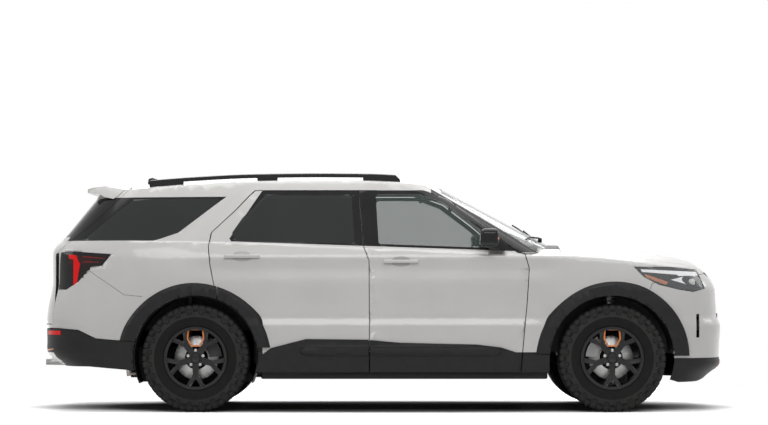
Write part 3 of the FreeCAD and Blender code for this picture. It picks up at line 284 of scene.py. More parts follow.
def tube(name, points, radius, steps=6, round=4):
    bpy.ops.object.select_all(action="DESELECT")
    bpy.ops.curve.primitive_nurbs_path_add(location=(0, 0, 0))
    piece = bpy.context.object
    line = piece.data
    line.splines.clear()
    spline = line.splines.new("NURBS")
    spline.points.add(len(points) - 1)
    for point, place in zip(spline.points, points):
        point.co = (*place, 1)
    spline.order_u = 3
    spline.use_endpoint_u = True
    line.bevel_depth = radius
    line.bevel_resolution = round
    line.resolution_u = steps
    line.use_fill_caps = True
    bpy.ops.object.convert(target="MESH")
    return lastAdded(name)


def finishWith(piece, kind, **settings):
    pickOnly(piece)
    modifier = piece.modifiers.new(kind.title(), kind)
    for key, value in settings.items():
        setattr(modifier, key, value)
    bpy.ops.object.modifier_apply(modifier=modifier.name)


def joined(name, pieces):
    bpy.ops.object.select_all(action="DESELECT")
    for piece in pieces:
        piece.select_set(True)
    bpy.context.view_layer.objects.active = pieces[0]
    bpy.ops.object.join()
    pieces[0].name = name
    pieces[0].data.name = name
    return pieces[0]


def copyOf(piece, name, shift=(0, 0, 0), mirror=False):
    mesh = piece.data.copy()
    mesh.name = name
    other = placed(name, mesh)
    if mirror:
        other.scale = (1, -1, 1)
    other.location = shift
    settle(other)
    if mirror:
        turnOutward(other)
    return other


def dressed(piece, finish, body="root", angle=35, outward=True):
    if outward:
        turnOutward(piece)
    pickOnly(piece)
    bpy.ops.object.shade_smooth_by_angle(angle=math.radians(angle))
    piece.data.materials.clear()
    piece.data.materials.append(made[finish])
    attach(piece, body)
    return piece


def bothSides(piece, stem, finish, body="root", angle=40):
    twin = copyOf(piece, stem + "_left", mirror=True)
    piece.name = stem + "_right"
    for side, one in (("right", piece), ("left", twin)):
        dressed(one, finish, body if body == "root" else body + "_" + side, angle)


# Camera, floor and light

view = dict(back=19.95, height=0.87, lens=122.7, shift=0.104)
camera = placed("sideCamera", bpy.data.cameras.new("sideCamera"))
camera.location = (0, -view["back"], view["height"])
camera.rotation_euler = (math.radians(90), 0, 0)
camera.data.lens = view["lens"]
camera.data.shift_y = view["shift"]
camera.data.clip_end = 200
scene.camera = camera
scene.view_settings.view_transform = "Standard"

room = dict(floorSize=160, floorPale=1.6, floorReal=0.5, skyLight=0.3, skyShown=1.0, farFrom=3.4, farTo=5.5,
        shadeLong=2.85, shadeWide=1.12, shadeFrom=0.72, shadeDeep=0.12)


def shownRay(tree):
    ways = newNode(tree, "LightPath").outputs
    total = ways["Is Camera Ray"]
    for ray in ("Is Glossy Ray", "Is Transmission Ray"):
        add = operated(tree, "Math", "ADD", total, ways[ray])
        add.use_clamp = True
        total = add.outputs[0]
    return total


world = bpy.data.worlds.new("paleRoom")
scene.world = world
world.use_nodes = True
sky = world.node_tree.nodes["Background"]
level = mapped(world.node_tree, shownRay(world.node_tree), {"To Min": room["skyLight"], "To Max": room["skyShown"]})
world.node_tree.links.new(level, sky.inputs["Strength"])
sky.inputs["Color"].default_value = (1, 1, 1, 1)

floor = added("floor", bpy.ops.mesh.primitive_plane_add, size=room["floorSize"])
paleFloor = bpy.data.materials.new("paleFloor")
paleFloor.use_nodes = True
tree = paleFloor.node_tree
tree.nodes.remove(tree.nodes["Principled BSDF"])
matt = newNode(tree, "BsdfDiffuse")
pale = mapped(tree, shownRay(tree), {"To Min": room["floorReal"], "To Max": room["floorPale"]})
spot = newNode(tree, "TexCoord").outputs["Object"]
reach = operated(tree, "VectorMath", "LENGTH", spot).outputs["Value"]
fade = mapped(tree, reach, {"From Min": room["farFrom"], "From Max": room["farTo"]})  # far off it is plain white
shares = (1 / room["shadeLong"], 1 / room["shadeWide"], 0)
stretched = operated(tree, "VectorMath", "MULTIPLY", spot, shares).outputs["Vector"]
ring = operated(tree, "VectorMath", "LENGTH", stretched).outputs["Value"]
edge = mapped(tree, ring, {"From Min": room["shadeFrom"], "To Min": room["shadeDeep"]})  # deep shade under the car
tree.links.new(operated(tree, "Math", "MULTIPLY", pale, edge).outputs[0], matt.inputs["Color"])
white = newNode(tree, "Emission")
shown = operated(tree, "Math", "MULTIPLY", fade, shownRay(tree)).outputs[0]
both = newNode(tree, "MixShader")
for socket, value in zip(both.inputs, (shown, matt.outputs["BSDF"], white.outputs["Emission"])):
    tree.links.new(value, socket)
tree.links.new(both.outputs["Shader"], tree.nodes["Material Output"].inputs["Surface"])
floor.data.materials.append(paleFloor)

lamps = {  # place, size, power and aim
    "overheadLight": ((0, 0, 7), (9, 5), 330, (0, 0, 0)),
    "sideLight": ((1, -8, 5.2), (9, 3), 330, (0, 0, 0.5)),
    "farLight": ((-1, 8, 5.2), (9, 3), 260, (0, 0, 0.5)),
    "noseLight": ((9, 1.5, 4.4), (4, 2.5), 110, (1.5, 0, 0.7)),
    "tailLight": ((-9, -1.5, 4.4), (4, 2.5), 110, (-1.5, 0, 0.7)),
}
for name, (place, size, power, aim) in lamps.items():
    light = bpy.data.lights.new(name, "AREA")
    light.shape = "RECTANGLE"
    light.size, light.size_y = size
    light.energy = power
    holder = placed(name, light)
    holder.location = place
    holder.rotation_euler = (Vector(aim) - Vector(place)).to_track_quat("-Z", "Y").to_euler()
print("stage: camera, floor and light set")

# The construction's own shapes, merged and smoothed, each with its finish

skins = {
    "bodyPaint": ["roof_panel", "hood", "liftgate", "front_bumper", "rear_bumper", "side_frame", "fender",
            "front_door", "rear_door"],
    "trimBlack": ["cowl_panel", "front_bumper_lower", "rear_bumper_lower", "front_door_trim", "rear_door_trim",
            "arch_flares", "roof_rails", "arch_liners"],
    "glossBlack": ["grille", "intake_mesh", "mirror"],
    "clearGlass": ["windscreen", "front_door_glass"],
    "privacyGlass": ["liftgate_glass", "quarter_glasses", "rear_door_glass"],
    "lampClear": ["headlamps"],
    "lampRed": ["taillamps"],
    "structure": ["underbody", "rear_suspension", "front_suspension"],
    "castAlloy": ["front_knuckle"],
    "engineBlock": ["engine"],
    "steelPipe": ["exhaust"],
    "softTrim": ["dashboard", "steering_wheel"],
    "wheelBlack": ["front_rim", "rear_rim"],
}
skin = {}
doorSeams = {"front_door": 1.099, "rear_door": 1.203}


def smoothCopy(node, finish, angle=28):
    piece = placed(node + "_shape", nodes[node].data.copy())
    piece.data.name = piece.name
    editing(piece)
    bpy.ops.mesh.remove_doubles(threshold=0.00001)
    leaveEditing()
    seam = doorSeams.get(node.rsplit("_", 1)[0])
    if seam:  # the panel and the window frame become one skin
        inner = bmesh.new()
        inner.from_mesh(piece.data)
        level = [f for f in inner.faces if all(abs(v.co.z - seam) < 0.00002 for v in f.verts)]
        bmesh.ops.delete(inner, geom=level, context="FACES")
        inner.to_mesh(piece.data)
        inner.free()
    dressed(piece, finish, bodyOf[node], angle, outward=False)
    finishWith(piece, "WEIGHTED_NORMAL", keep_sharp=True, weight=90)
    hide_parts(node)
    return piece


for finish, stems in skins.items():
    for stem in stems:
        for node in [stem] if stem in nodes else [stem + "_right", stem + "_left"]:
            skin[node] = smoothCopy(node, finish)
print("stage: shapes smoothed,", len(skin))


def cutAlong(piece, point, normal):
    editing(piece)
    bpy.ops.mesh.bisect(plane_co=point, plane_no=normal)
    leaveEditing()


def paint(piece, finish, inside):
    piece.data.materials.append(made[finish])
    for face in piece.data.polygons:
        if inside(face.center, face.normal):
            face.material_index = len(piece.data.materials) - 1


def withinOutline(corners, x, z):
    signs = []
    for (ax, az), (bx, bz) in zip(corners, corners[1:] + corners[:1]):
        signs.append((bx - ax) * (z - az) - (bz - az) * (x - ax))
    return all(value <= 0 for value in signs) or all(value >= 0 for value in signs)


def paintOutline(piece, finish, corners, inside=lambda centre, normal: True):
    for (ax, az), (bx, bz) in zip(corners, corners[1:] + corners[:1]):
        cutAlong(piece, (ax, 0, az), Vector((bz - az, 0, ax - bx)).normalized())
    paint(piece, finish, lambda c, n: withinOutline(corners, c.x, c.z) and inside(c, n))


# Black window frames, pillars and cladding; the doors' inner sides get soft trim

beltLine = dict(x=-0.04, z=1.204, slope=0.034)
rearPillar = [(-1.155, 1.572), (-1.503, 1.309), (-1.679, 1.246), (-2.322, 1.246), (-2.075, 1.566)]
rearWindowFrame = [(-0.1, 1.7), (-0.84, 1.7), (-0.905, 1.6), (-1.14, 1.292), (-1.126, 1.262), (-1.085, 1.2),
        (-0.1, 1.1)]
screenPillar = dict(start=0.345, foot=1.159)
cladding = {"front_door": [(-0.075, 0.52), (0.89, 0.436)], "rear_door": [(-0.135, 0.52), (-0.88, 0.5)], "foot": 0.425,
        "fender": 0.436, "fenderEnd": 1.3, "sill": 0.42}
gateBlack = dict(low=1.275, high=1.562, across=0.585)
sillLine = 0.3
inner = dict(door=0.93, frame=0.9, belt=1.2, floor=0.8)


def aboveBelt(spot):
    return spot.z > beltLine["z"] - beltLine["slope"] * (spot.x - beltLine["x"])


def cutLevel(piece, *heights):
    for z in heights:
        cutAlong(piece, (0, 0, z), (0, 0, 1))


def paintDoor(stem, side, sign):
    door = skin[stem + "_" + side]
    cutAlong(door, (beltLine["x"], 0, beltLine["z"]), Vector((beltLine["slope"], 0, 1)).normalized())
    cutLevel(door, sillLine)
    if stem == "rear_door":
        paintOutline(door, "glossBlack", rearWindowFrame, lambda c, n: aboveBelt(c))
    else:
        paint(door, "glossBlack", lambda c, n: aboveBelt(c))
    low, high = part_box(stem + "_" + side)
    middle = (low.x + high.x) / 2
    for x, z in cladding[stem]:
        cutAlong(door, (x, 0, 0), (1, 0, 0))
        cutLevel(door, z)
        paint(door, "trimBlack", lambda c, n: c.z < z and (c.x > x) == (x > middle))
    cutLevel(door, cladding["foot"])
    paint(door, "trimBlack", lambda c, n: c.z < cladding["foot"] and n.y * sign > -0.3)
    paint(door, "softTrim", lambda c, n: n.y * sign < -0.5 and abs(c.y) < inner["door"])


for side, sign in sides.items():
    paintDoor("front_door", side, sign)
    paintDoor("rear_door", side, sign)
    fender = skin["fender_" + side]
    cutLevel(fender, cladding["fender"])
    paint(fender, "trimBlack", lambda c, n: c.z < cladding["fender"] and c.x < cladding["fenderEnd"])
    sideFrame = skin["side_frame_" + side]
    paintOutline(sideFrame, "glossBlack", rearPillar, lambda c, n: n.y * sign > 0.2)
    cutAlong(sideFrame, (screenPillar["start"], 0, 0), (1, 0, 0))
    cutLevel(sideFrame, screenPillar["foot"])
    paint(sideFrame, "glossBlack", lambda c, n: c.x > screenPillar["start"] and c.z > screenPillar["foot"]
            and n.y * sign > -0.3)
    paint(sideFrame, "trimBlack", lambda c, n: c.z < cladding["sill"])
    paint(sideFrame, "headlining", lambda c, n: n.y * sign < -0.3 and abs(c.y) < inner["frame"] and c.z > inner["belt"])
    paint(sideFrame, "softTrim", lambda c, n: n.y * sign < -0.3 and abs(c.y) < inner["frame"]
            and cladding["sill"] < c.z <= inner["belt"])
gate = skin["liftgate"]
paintOutline(gate, "glossBlack", rearPillar, lambda c, n: abs(n.y) > 0.3 and abs(c.y) > 0.5)
cutLevel(gate, gateBlack["low"], gateBlack["high"])
paint(gate, "glossBlack", lambda c, n: gateBlack["low"] < c.z < gateBlack["high"] and abs(c.y) > gateBlack["across"])
paint(skin["roof_panel"], "headlining", lambda c, n: n.z < -0.5)
paint(skin["underbody"], "carpet", lambda c, n: n.z > 0.6 and abs(c.y) < inner["floor"] and -2.4 < c.x < 1.14
        and c.z < inner["floor"])
print("stage: window frames, pillars and linings painted")

# Wheels

wheel = dict(sectors=24, wheelY=0.85, axleZ=0.392, nutRing=0.057, nutRadius=0.0125, sideFrom=0.3, sideTo=0.383,
        disc=0.185)
for end in ("front", "rear"):
    low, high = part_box(end + "_tyre_right")
    wheel[end + "X"] = (low.x + high.x) / 2
wheelCentre = (wheel["frontX"], -wheel["wheelY"], wheel["axleZ"])


def radial(name, corners, width, turn, bevel=0.0012, shift=0.0):
    places = [(wheelCentre[0] - width / 2 + shift, wheelCentre[1] + y, wheelCentre[2] + r) for r, y in corners]
    piece = plate(name, places, (width, 0, 0), bevel)
    aroundAxle(piece, turn)
    return piece


def aroundAxle(piece, degrees):
    spin = Matrix.Rotation(math.radians(degrees), 4, "Y")
    centre = Matrix.Translation(wheelCentre)
    piece.data.transform(centre @ spin @ centre.inverted())


def repeatAround(piece, count):
    pivot = placed("pivot", None)
    centre = Matrix.Translation(wheelCentre)
    pivot.matrix_world = centre @ Matrix.Rotation(2 * math.pi / count, 4, "Y") @ centre.inverted()
    bpy.context.view_layer.update()
    finishWith(piece, "ARRAY", count=count, use_relative_offset=False, use_object_offset=True, offset_object=pivot)
    bpy.data.objects.remove(pivot)


# One sector's lugs: outline in (radius, across), width, turn, bevel and shift, for one side of the tread

tyreSide = [(0.2295, 0.104), (0.238, 0.1105), (0.246, 0.113), (0.262, 0.1185), (0.285, 0.1235), (0.292, 0.1245),
        (0.294, 0.1258), (0.298, 0.1258), (0.3, 0.125), (0.318, 0.1252), (0.334, 0.1236), (0.352, 0.1205),
        (0.368, 0.113), (0.378, 0.104), (0.3825, 0.093), (0.384, 0.06), (0.3842, 0.0)]
lugs = {
    "shoulder": [(0.336, 0.124), (0.338, 0.1274), (0.356, 0.1268), (0.372, 0.1205), (0.383, 0.112), (0.3895, 0.0985),
            (0.3912, 0.072), (0.378, 0.072), (0.37, 0.1), (0.35, 0.118)],
    "short": [(0.354, 0.12), (0.356, 0.1262), (0.372, 0.12), (0.383, 0.111), (0.3893, 0.0965), (0.3912, 0.064),
            (0.378, 0.064), (0.37, 0.1)],
    "hook": [(0.32, 0.123), (0.3205, 0.1268), (0.344, 0.1262), (0.344, 0.12)],
    "foot": [(0.318, 0.1235), (0.318, 0.1268), (0.3245, 0.1268), (0.3245, 0.123)],
    "middle": [(0.38, 0.056), (0.3915, 0.056), (0.392, 0.033), (0.38, 0.033)],
    "core": [(0.38, 0.027), (0.392, 0.027), (0.392, 0.004), (0.38, 0.004)],
}
lugRuns = [("shoulder", 0.036, 0, 0.0012, 0), ("short", 0.037, 7.5, 0.0012, 0), ("hook", 0.006, 7.5, 0.0008, -0.013),
        ("hook", 0.006, 7.5, 0.0008, 0.013), ("foot", 0.032, 7.5, 0.0008, 0), ("middle", 0.034, 2.2, 0.0012, 0),
        ("middle", 0.032, 9.6, 0.0012, 0), ("core", 0.03, 5.4, 0.0012, 0), ("core", 0.026, 12.6, 0.0012, 0)]


def makeTyre():
    profile = tyreSide + [(r, -y) for r, y in tyreSide[-2::-1]]
    carcass = turned("tyre", profile + [profile[0]], wheelCentre)
    parts = []
    for way in (1, -1):
        for stem, width, turn, bevel, shift in lugRuns:
            outline = [(r, way * y) for r, y in lugs[stem]]
            turn += way if stem == "core" else 0
            parts.append(radial("lug", outline, width, turn, bevel, shift))
    sector = joined("tread", parts)
    repeatAround(sector, wheel["sectors"])
    return joined("tyre", [carcass, sector])


def makeWheelDetail():
    cx, cy, cz = wheelCentre
    face = cy - 0.096
    nuts = []
    for i in range(5):
        angle = math.radians(90 + 72 * i)
        x = cx + wheel["nutRing"] * math.cos(angle)
        z = cz + wheel["nutRing"] * math.sin(angle)
        stud = roundBar("nut", (x, face + 0.012, z), (x, face - 0.01, z), wheel["nutRadius"], 6, 0.002)
        tip = roundBar("nut", (x, face - 0.008, z), (x, face - 0.0145, z), wheel["nutRadius"] * 0.72, 16, 0.003)
        nuts += [stud, tip]
    nuts = joined("wheel_nuts", nuts)
    dome = [(0.0002, -0.1115), (0.02, -0.111), (0.031, -0.1085), (0.0335, -0.105), (0.034, -0.088), (0.0002, -0.088)]
    cap = turned("hub_cap", dome, wheelCentre, 48)
    shield = [(-0.058, 0.206), (-0.05, 0.214), (0.05, 0.214), (0.058, 0.206), (0.064, 0.14), (0.032, 0.084),
            (-0.032, 0.084), (-0.064, 0.14)]
    ring = plate("wheel_accent", [(cx + x, cy - 0.0985, cz + z) for x, z in shield], (0, 0.03, 0), 0.0012, 0.011)
    return nuts, cap, ring


def fromAxle(spot, end):
    return math.hypot(spot.x - wheel[end + "X"], spot.z - wheel["axleZ"])


tyreModel = makeTyre()
nutModel, capModel, ringModel = makeWheelDetail()
wheelPieces = ((tyreModel, "tyre", "tyreRubber", 30), (nutModel, "wheel_nuts", "discIron", 30),
        (capModel, "hub_cap", "wheelBlack", 40), (ringModel, "wheel_accent", "orange", 30))
for end in ("front", "rear"):
    shift = (0, 0, 0) if end == "front" else (wheel["rearX"] - wheel["frontX"], 0, 0)
    for side in sides:
        body = f"{end}_wheel_{side}"
        for model, stem, finish, angle in wheelPieces:
            piece = copyOf(model, f"{end}_{stem}_{side}_detail", shift, mirror=side == "left")
            dressed(piece, finish, body, angle)
            if stem == "tyre":  # the outer side wall is a shade lighter
                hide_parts(f"{end}_tyre_{side}")
                paint(piece, "tyreSide", lambda c, n: wheel["sideFrom"] < fromAxle(c, end) < wheel["sideTo"]
                        and 0.104 < abs(abs(c.y) - wheel["wheelY"]) < 0.1262)
        paint(skin[f"{end}_rim_{side}"], "discIron", lambda c, n: abs(c.y) < wheel["wheelY"] - 0.012
                and fromAxle(c, end) < wheel["disc"])
for model in (tyreModel, nutModel, capModel, ringModel):
    bpy.data.objects.remove(model)
print("stage: wheels dressed")

# Pieces that follow a surface: each corner is sent along one way until it meets the skin


def touch(targets, start, way, reach=4.0):
    best = None
    for target in targets:
        hit, place, normal, index = target.ray_cast(Vector(start), Vector(way).normalized(), distance=reach)
        if hit and (best is None or (place - Vector(start)).length < (best[0] - Vector(start)).length):
            best = (place, normal)
    return best


ways = {"front": (-1, 0, 0), "rear": (1, 0, 0), "right": (0, 1, 0), "left": (0, -1, 0)}  # seen from that side
rays = dict(back=3.2, reach=6)


def rectangle(left, right, low, high):
    return [(left, low), (right, low), (right, high), (left, high)]


def patch(name, corners, seenFrom, targets, lift=0.0015, thickness=0.003, cells=(12, 4)):
    piece = newGrid(name, cells)
    way = Vector(ways[seenFrom])
    a, b, c, d = [Vector((u, 0, z) if way.y else (0, u, z)) for u, z in corners]
    places, depths = [], []
    for vertex in piece.data.vertices:
        u, v = (vertex.co.x + 1) / 2, (vertex.co.y + 1) / 2
        place = (a * (1 - u) + b * u) * (1 - v) + (d * (1 - u) + c * u) * v
        places.append(place)
        found = touch(targets, place - way * rays["back"], way, rays["reach"])
        depths.append(found[0].dot(way) if found else None)
    met = [i for i, depth in enumerate(depths) if depth is not None]
    for i, (vertex, place) in enumerate(zip(piece.data.vertices, places)):
        nearest = min(met, key=lambda other: (places[other] - place).length)  # beyond the edge: as its neighbour
        depth = depths[i] if depths[i] is not None else depths[nearest]
        vertex.co = place + way * (depth - place.dot(way) - lift)
    if sum(face.normal.dot(way) for face in piece.data.polygons) > 0:
        editing(piece)
        bpy.ops.mesh.flip_normals()
        leaveEditing()
    finishWith(piece, "SOLIDIFY", thickness=thickness, offset=-1)
    return piece


# Seats: padded covers on the same places as the construction's seats

seatSizes = dict(crown=0.016, pinch=0.01, channel=0.007, round=0.038, cuts=26)


def pad(name, centre, size, lean=0.0, channels=(), ribs=(), replaces=None, fill=0.7, bolster=0.0, top=(0, 0, 1)):
    piece = added(name, bpy.ops.mesh.primitive_cube_add, size=2)
    editing(piece)
    bpy.ops.mesh.subdivide(number_cuts=seatSizes["cuts"])
    leaveEditing()
    half = Vector(size) / 2
    pull = seatSizes["pinch"] + seatSizes["crown"]
    radius = min(seatSizes["round"], min(half) * 0.85)
    core = Vector([max(side - radius, 0.001) for side in half])
    upAxis = max(range(3), key=lambda i: abs(top[i]))
    sign = 1 if sum(top) > 0 else -1
    along, across = [axis for axis in range(3) if axis != upAxis]
    for vertex in piece.data.vertices:
        unit = vertex.co.copy()
        spot = Vector([unit[i] * half[i] for i in range(3)])
        inner = Vector([max(-core[i], min(core[i], spot[i])) for i in range(3)])
        outward = spot - inner
        place = inner + outward.normalized() * radius if outward.length > 1e-6 else spot
        height, u, v = unit[upAxis] * sign, unit[along], unit[across]
        swell = (1 - u * u) * (1 - v * v)
        place[upAxis] -= sign * seatSizes["crown"] * (1 - swell) * max(height, 0)
        place[along] -= math.copysign(pull, u) * (1 - v * v) * (1 - height * height) * abs(u) ** 3
        place[across] -= math.copysign(pull, v) * (1 - u * u) * (1 - height * height) * abs(v) ** 3
        if height > 0.9:
            dip = sum(math.exp(-((v - line) / 0.035) ** 2) for line in channels)
            dip += sum(math.exp(-((u - line) / 0.035) ** 2) for line in ribs if abs(v) < 0.6)
            place[upAxis] -= sign * seatSizes["channel"] * min(dip, 1)
            if bolster and abs(v) < 0.6:
                place[upAxis] -= sign * bolster * (1 - (v / 0.6) ** 2)
        vertex.co = place
    finishWith(piece, "SUBSURF", levels=1, render_levels=1)
    piece.rotation_euler = (0, math.radians(lean), 0)
    piece.location = centre
    settle(piece)
    dressed(piece, "seatCover", "root", 60)
    if replaces:
        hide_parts(replaces)


def leaned(pivot, offset, degrees):
    turn = Matrix.Rotation(math.radians(degrees), 4, "Y")
    return Vector(pivot) + turn @ Vector(offset)


def frontSeat(side):
    sign = sides[side]
    middle = sign * 0.43
    stem = "front_seat_" + side
    pad(stem + "_cushion", (0.15, middle, 0.628), (0.5, 0.52, 0.125), channels=(-0.62, 0.62),
            ribs=(-0.45, -0.1, 0.25, 0.6), replaces="front_seats", bolster=0.012)
    pivot = (-0.06, 0, 0.62)
    place = leaned(pivot, (0, 0, 0.315), -18)
    pad(stem + "_back", (place.x, middle, place.z), (0.118, 0.49, 0.61), -18, channels=(-0.62, 0.62),
            ribs=(-0.5, -0.2, 0.1, 0.4, 0.7), replaces="front_seats", top=(1, 0, 0), bolster=0.01)
    pad(stem + "_headrest", (-0.255, middle, 1.33), (0.088, 0.255, 0.155), -8, replaces="front_seats", top=(1, 0, 0))
    metal = [roundBar("post", (-0.215, middle + off, 1.17), (-0.252, middle + off, 1.29), 0.006, 16)
            for off in (-0.06, 0.06)]
    dressed(joined(stem + "_headrest_posts", metal), "castAlloy", "root", 40)
    base = [softBlock("base", (0.155, middle, 0.47), (0.36, 0.39, 0.2), 0.02)]
    base += [softBlock("rail", (0.155, middle + off, 0.362), (0.42, 0.04, 0.03), 0.006) for off in (-0.2, 0.2)]
    dressed(joined(stem + "_base", base), "softTrim", "root", 40)
    ring = roundBar("recliner", (-0.05, middle + sign * 0.255, 0.64), (-0.05, middle + sign * 0.268, 0.64), 0.045, 32)
    dressed(ring, "softTrim", "root", 40)
    ring.name = stem + "_recliner"


def benchSeat(stem, node, x, seatZ, heads, height, splits):
    depth, thick = 0.46, 0.118
    for i, (low, high) in enumerate(zip(splits, splits[1:])):
        middle, width = (low + high) / 2, high - low - 0.006
        seams = dict(channels=(-0.7, 0.7) if width > 0.3 else (), ribs=(-0.4, 0.0, 0.4), replaces=node)
        pad(f"{stem}_cushion_{i + 1}", (x - depth / 2, middle, seatZ + 0.058), (depth, width, thick), **seams)
        pivot = (x - 0.37 - 0.055, 0, seatZ + 0.05)
        place = leaned(pivot, (0, 0, height / 2 + 0.005), -20)
        size = (0.108, width, height - 0.01)
        pad(f"{stem}_back_{i + 1}", (place.x, middle, place.z), size, -20, top=(1, 0, 0), **seams)
    topX = x - 0.4 - height * 0.34
    posts = []
    for i, y in enumerate(heads):
        pad(f"{stem}_headrest_{i + 1}", (topX - 0.052, y, seatZ + height + 0.125), (0.083, 0.235, 0.125), -6,
                replaces=node, top=(1, 0, 0))
        for off in (-0.05, 0.05):
            posts.append(roundBar("post", (topX + 0.012, y + off, seatZ + height - 0.03),
                    (topX - 0.045, y + off, seatZ + height + 0.09), 0.006, 16))
    dressed(joined(stem + "_headrest_posts", posts), "castAlloy", "root", 40)


frontSeat("right")
frontSeat("left")
benchSeat("second_row", "second_row_seat", -0.43, 0.6, (-0.44, 0.0, 0.44), 0.56, (-0.66, -0.19, 0.19, 0.66))
benchSeat("third_row", "third_row_seat", -1.33, 0.74, (-0.3, 0.3), 0.47, (-0.56, 0.0, 0.56))
legs = [softBlock("leg", (-0.66, y, 0.475), (0.34, 0.4, 0.25), 0.02) for y in (-0.39, 0.39)]
legs += [softBlock("leg", (-1.56, y, 0.665), (0.34, 0.3, 0.14), 0.02) for y in (-0.34, 0.34)]
dressed(joined("bench_frames", legs), "softTrim", "root", 40)
print("stage: seats covered")

# Head lamps: dark bezel under a clear lens, white running light, amber side marker

bezelGap = 0.006
bezels = copyOf(skin["headlamps"], "headlamp_bezels")
editing(bezels)
bpy.ops.transform.shrink_fatten(value=-bezelGap)
leaveEditing()
dressed(bezels, "glossBlack", bodyOf["headlamps"], 28, outward=False)
lampShell = [skin["headlamps"]]


def lampPart(stem, corners, finish, targets, seenFrom="right", sink=0.0045, cells=(24, 4)):
    piece = patch(stem, corners, seenFrom, targets, lift=-sink, thickness=0.004, cells=cells)
    bothSides(piece, stem, finish)


lampPart("running_light", [(1.875, 1.018), (2.278, 0.988), (2.268, 1.02), (1.862, 1.038)], "whiteLamp", lampShell)
lampPart("side_marker", [(1.905, 0.975), (2.05, 0.925), (2.066, 0.946), (1.892, 1.004)], "amberLamp", lampShell)
lampPart("lamp_dart", [(2.085, 0.962), (2.2, 0.93), (2.16, 0.962), (2.18, 0.985)], "whiteLamp", lampShell)
lampPart("running_light_front", [(-0.9, 0.99), (-0.615, 1.0), (-0.615, 1.022), (-0.9, 1.02)], "whiteLamp", lampShell,
        "front")
projectors = dict(z=0.945, y=(-0.845, -0.765, -0.685), parts=(
    ("projector", -0.06, -0.012, 0.026, 0.004, "discIron"),
    ("projector_lens", -0.016, -0.008, 0.022, 0.003, "whiteLamp")))
for i, y in enumerate(projectors["y"]):
    z = projectors["z"]
    found = touch(lampShell, (3.2, y, z), (-1, 0, 0))
    if found:
        x = found[0].x
        for stem, back, front, radius, bevel, finish in projectors["parts"]:
            barrel = roundBar(stem, (x + back, y, z), (x + front, y, z), radius, 32, bevel)
            bothSides(barrel, f"lamp_{stem}_{i + 1}", finish)
print("stage: head lamps made")

# Tail lamps: dark body, one bright bar, thin lit outline

tailShell = [skin["taillamps"]]
tailLens = [(-2.3, 1.14), (-2.016, 1.126), (-2.056, 1.084), (-2.14, 1.079), (-2.215, 0.96), (-2.258, 0.918),
        (-2.3, 0.918)]
skin["taillamps"].data.materials[0] = made["glossBlack"]
paintOutline(skin["taillamps"], "lampDark", tailLens, lambda c, n: abs(n.y) > 0.2)
tailParts = {
    "tail_bar": ([(-2.262, 0.918), (-2.235, 0.94), (-2.212, 1.08), (-2.262, 1.145)], "lampRed", (6, 24)),
    "tail_bar_top": ([(-2.3, 1.12), (-2.225, 1.095), (-2.24, 1.14), (-2.3, 1.148)], "lampRed", (8, 4)),
    "tail_arm_top": ([(-2.19, 1.127), (-2.03, 1.112), (-2.026, 1.119), (-2.195, 1.135)], "lampDim", (24, 2)),
    "tail_arm_base": ([(-2.19, 1.088), (-2.07, 1.086), (-2.066, 1.093), (-2.19, 1.096)], "lampDim", (24, 2)),
}
for stem, (corners, finish, cells) in tailParts.items():
    lampPart(stem, corners, finish, tailShell, sink=-0.002, cells=cells)
for i in range(4):
    z = 1.06 - 0.028 * i
    reach = -2.11 - 0.022 * i
    lampPart(f"tail_rib_{i + 1}", [(-2.195, z), (reach, z), (reach + 0.006, z + 0.01), (-2.195, z + 0.01)], "lampDark",
            tailShell, sink=-0.003, cells=(12, 2))
print("stage: tail lamps made")

# Door handles and mirrors

handles = {"front_door": dict(low=-0.003, high=0.252, z=1.094), "rear_door": dict(low=-1.158, high=-0.9, z=1.131)}
cupHalf = 0.075
for stem, grip in handles.items():
    shell = [skin[stem + "_right"]]
    z, middle, length = grip["z"], (grip["low"] + grip["high"]) / 2, grip["high"] - grip["low"]
    depth = {x: touch(shell, (x, -3, z), (0, 1, 0))[0].y for x in (middle, grip["low"] + 0.03, grip["high"] - 0.03)}
    bar = softBlock("bar", (middle, depth.pop(middle) - 0.03, z), (length, 0.016, 0.036), 0.0075, steps=4)
    for vertex in bar.data.vertices:  # bowed, and slimmer at its ends
        share = (vertex.co.x - middle) / (length / 2)
        vertex.co.y += 0.012 * share * share
        vertex.co.z = z + (vertex.co.z - z) * (1 - 0.35 * share * share)
    feet = [softBlock("foot", (x, y - 0.008, z), (0.04, 0.03, 0.026), 0.006, steps=3) for x, y in depth.items()]
    bothSides(joined("handle", [bar] + feet), stem + "_handle", "bodyPaint", stem, 50)
    edges = [(middle - cupHalf, z - 0.026), (middle + cupHalf, z - 0.026), (middle + 0.06, z + 0.026),
            (middle - 0.06, z + 0.026)]
    cup = patch("cup", edges, "right", shell, lift=0.0006, thickness=0.001, cells=(24, 16))
    for vertex in cup.data.vertices:  # a rounded hollow that reaches above the bar
        share = (vertex.co.x - middle) / cupHalf
        vertex.co.z = z + (vertex.co.z - z) * (0.15 + 1.25 * max(0.0, 1 - share * share) ** 0.5)
    # the hollow takes the darker body paint: painted shade in the recess
    bothSides(cup, stem + "_handle_cup", "paintedRecessShade", stem, 40)

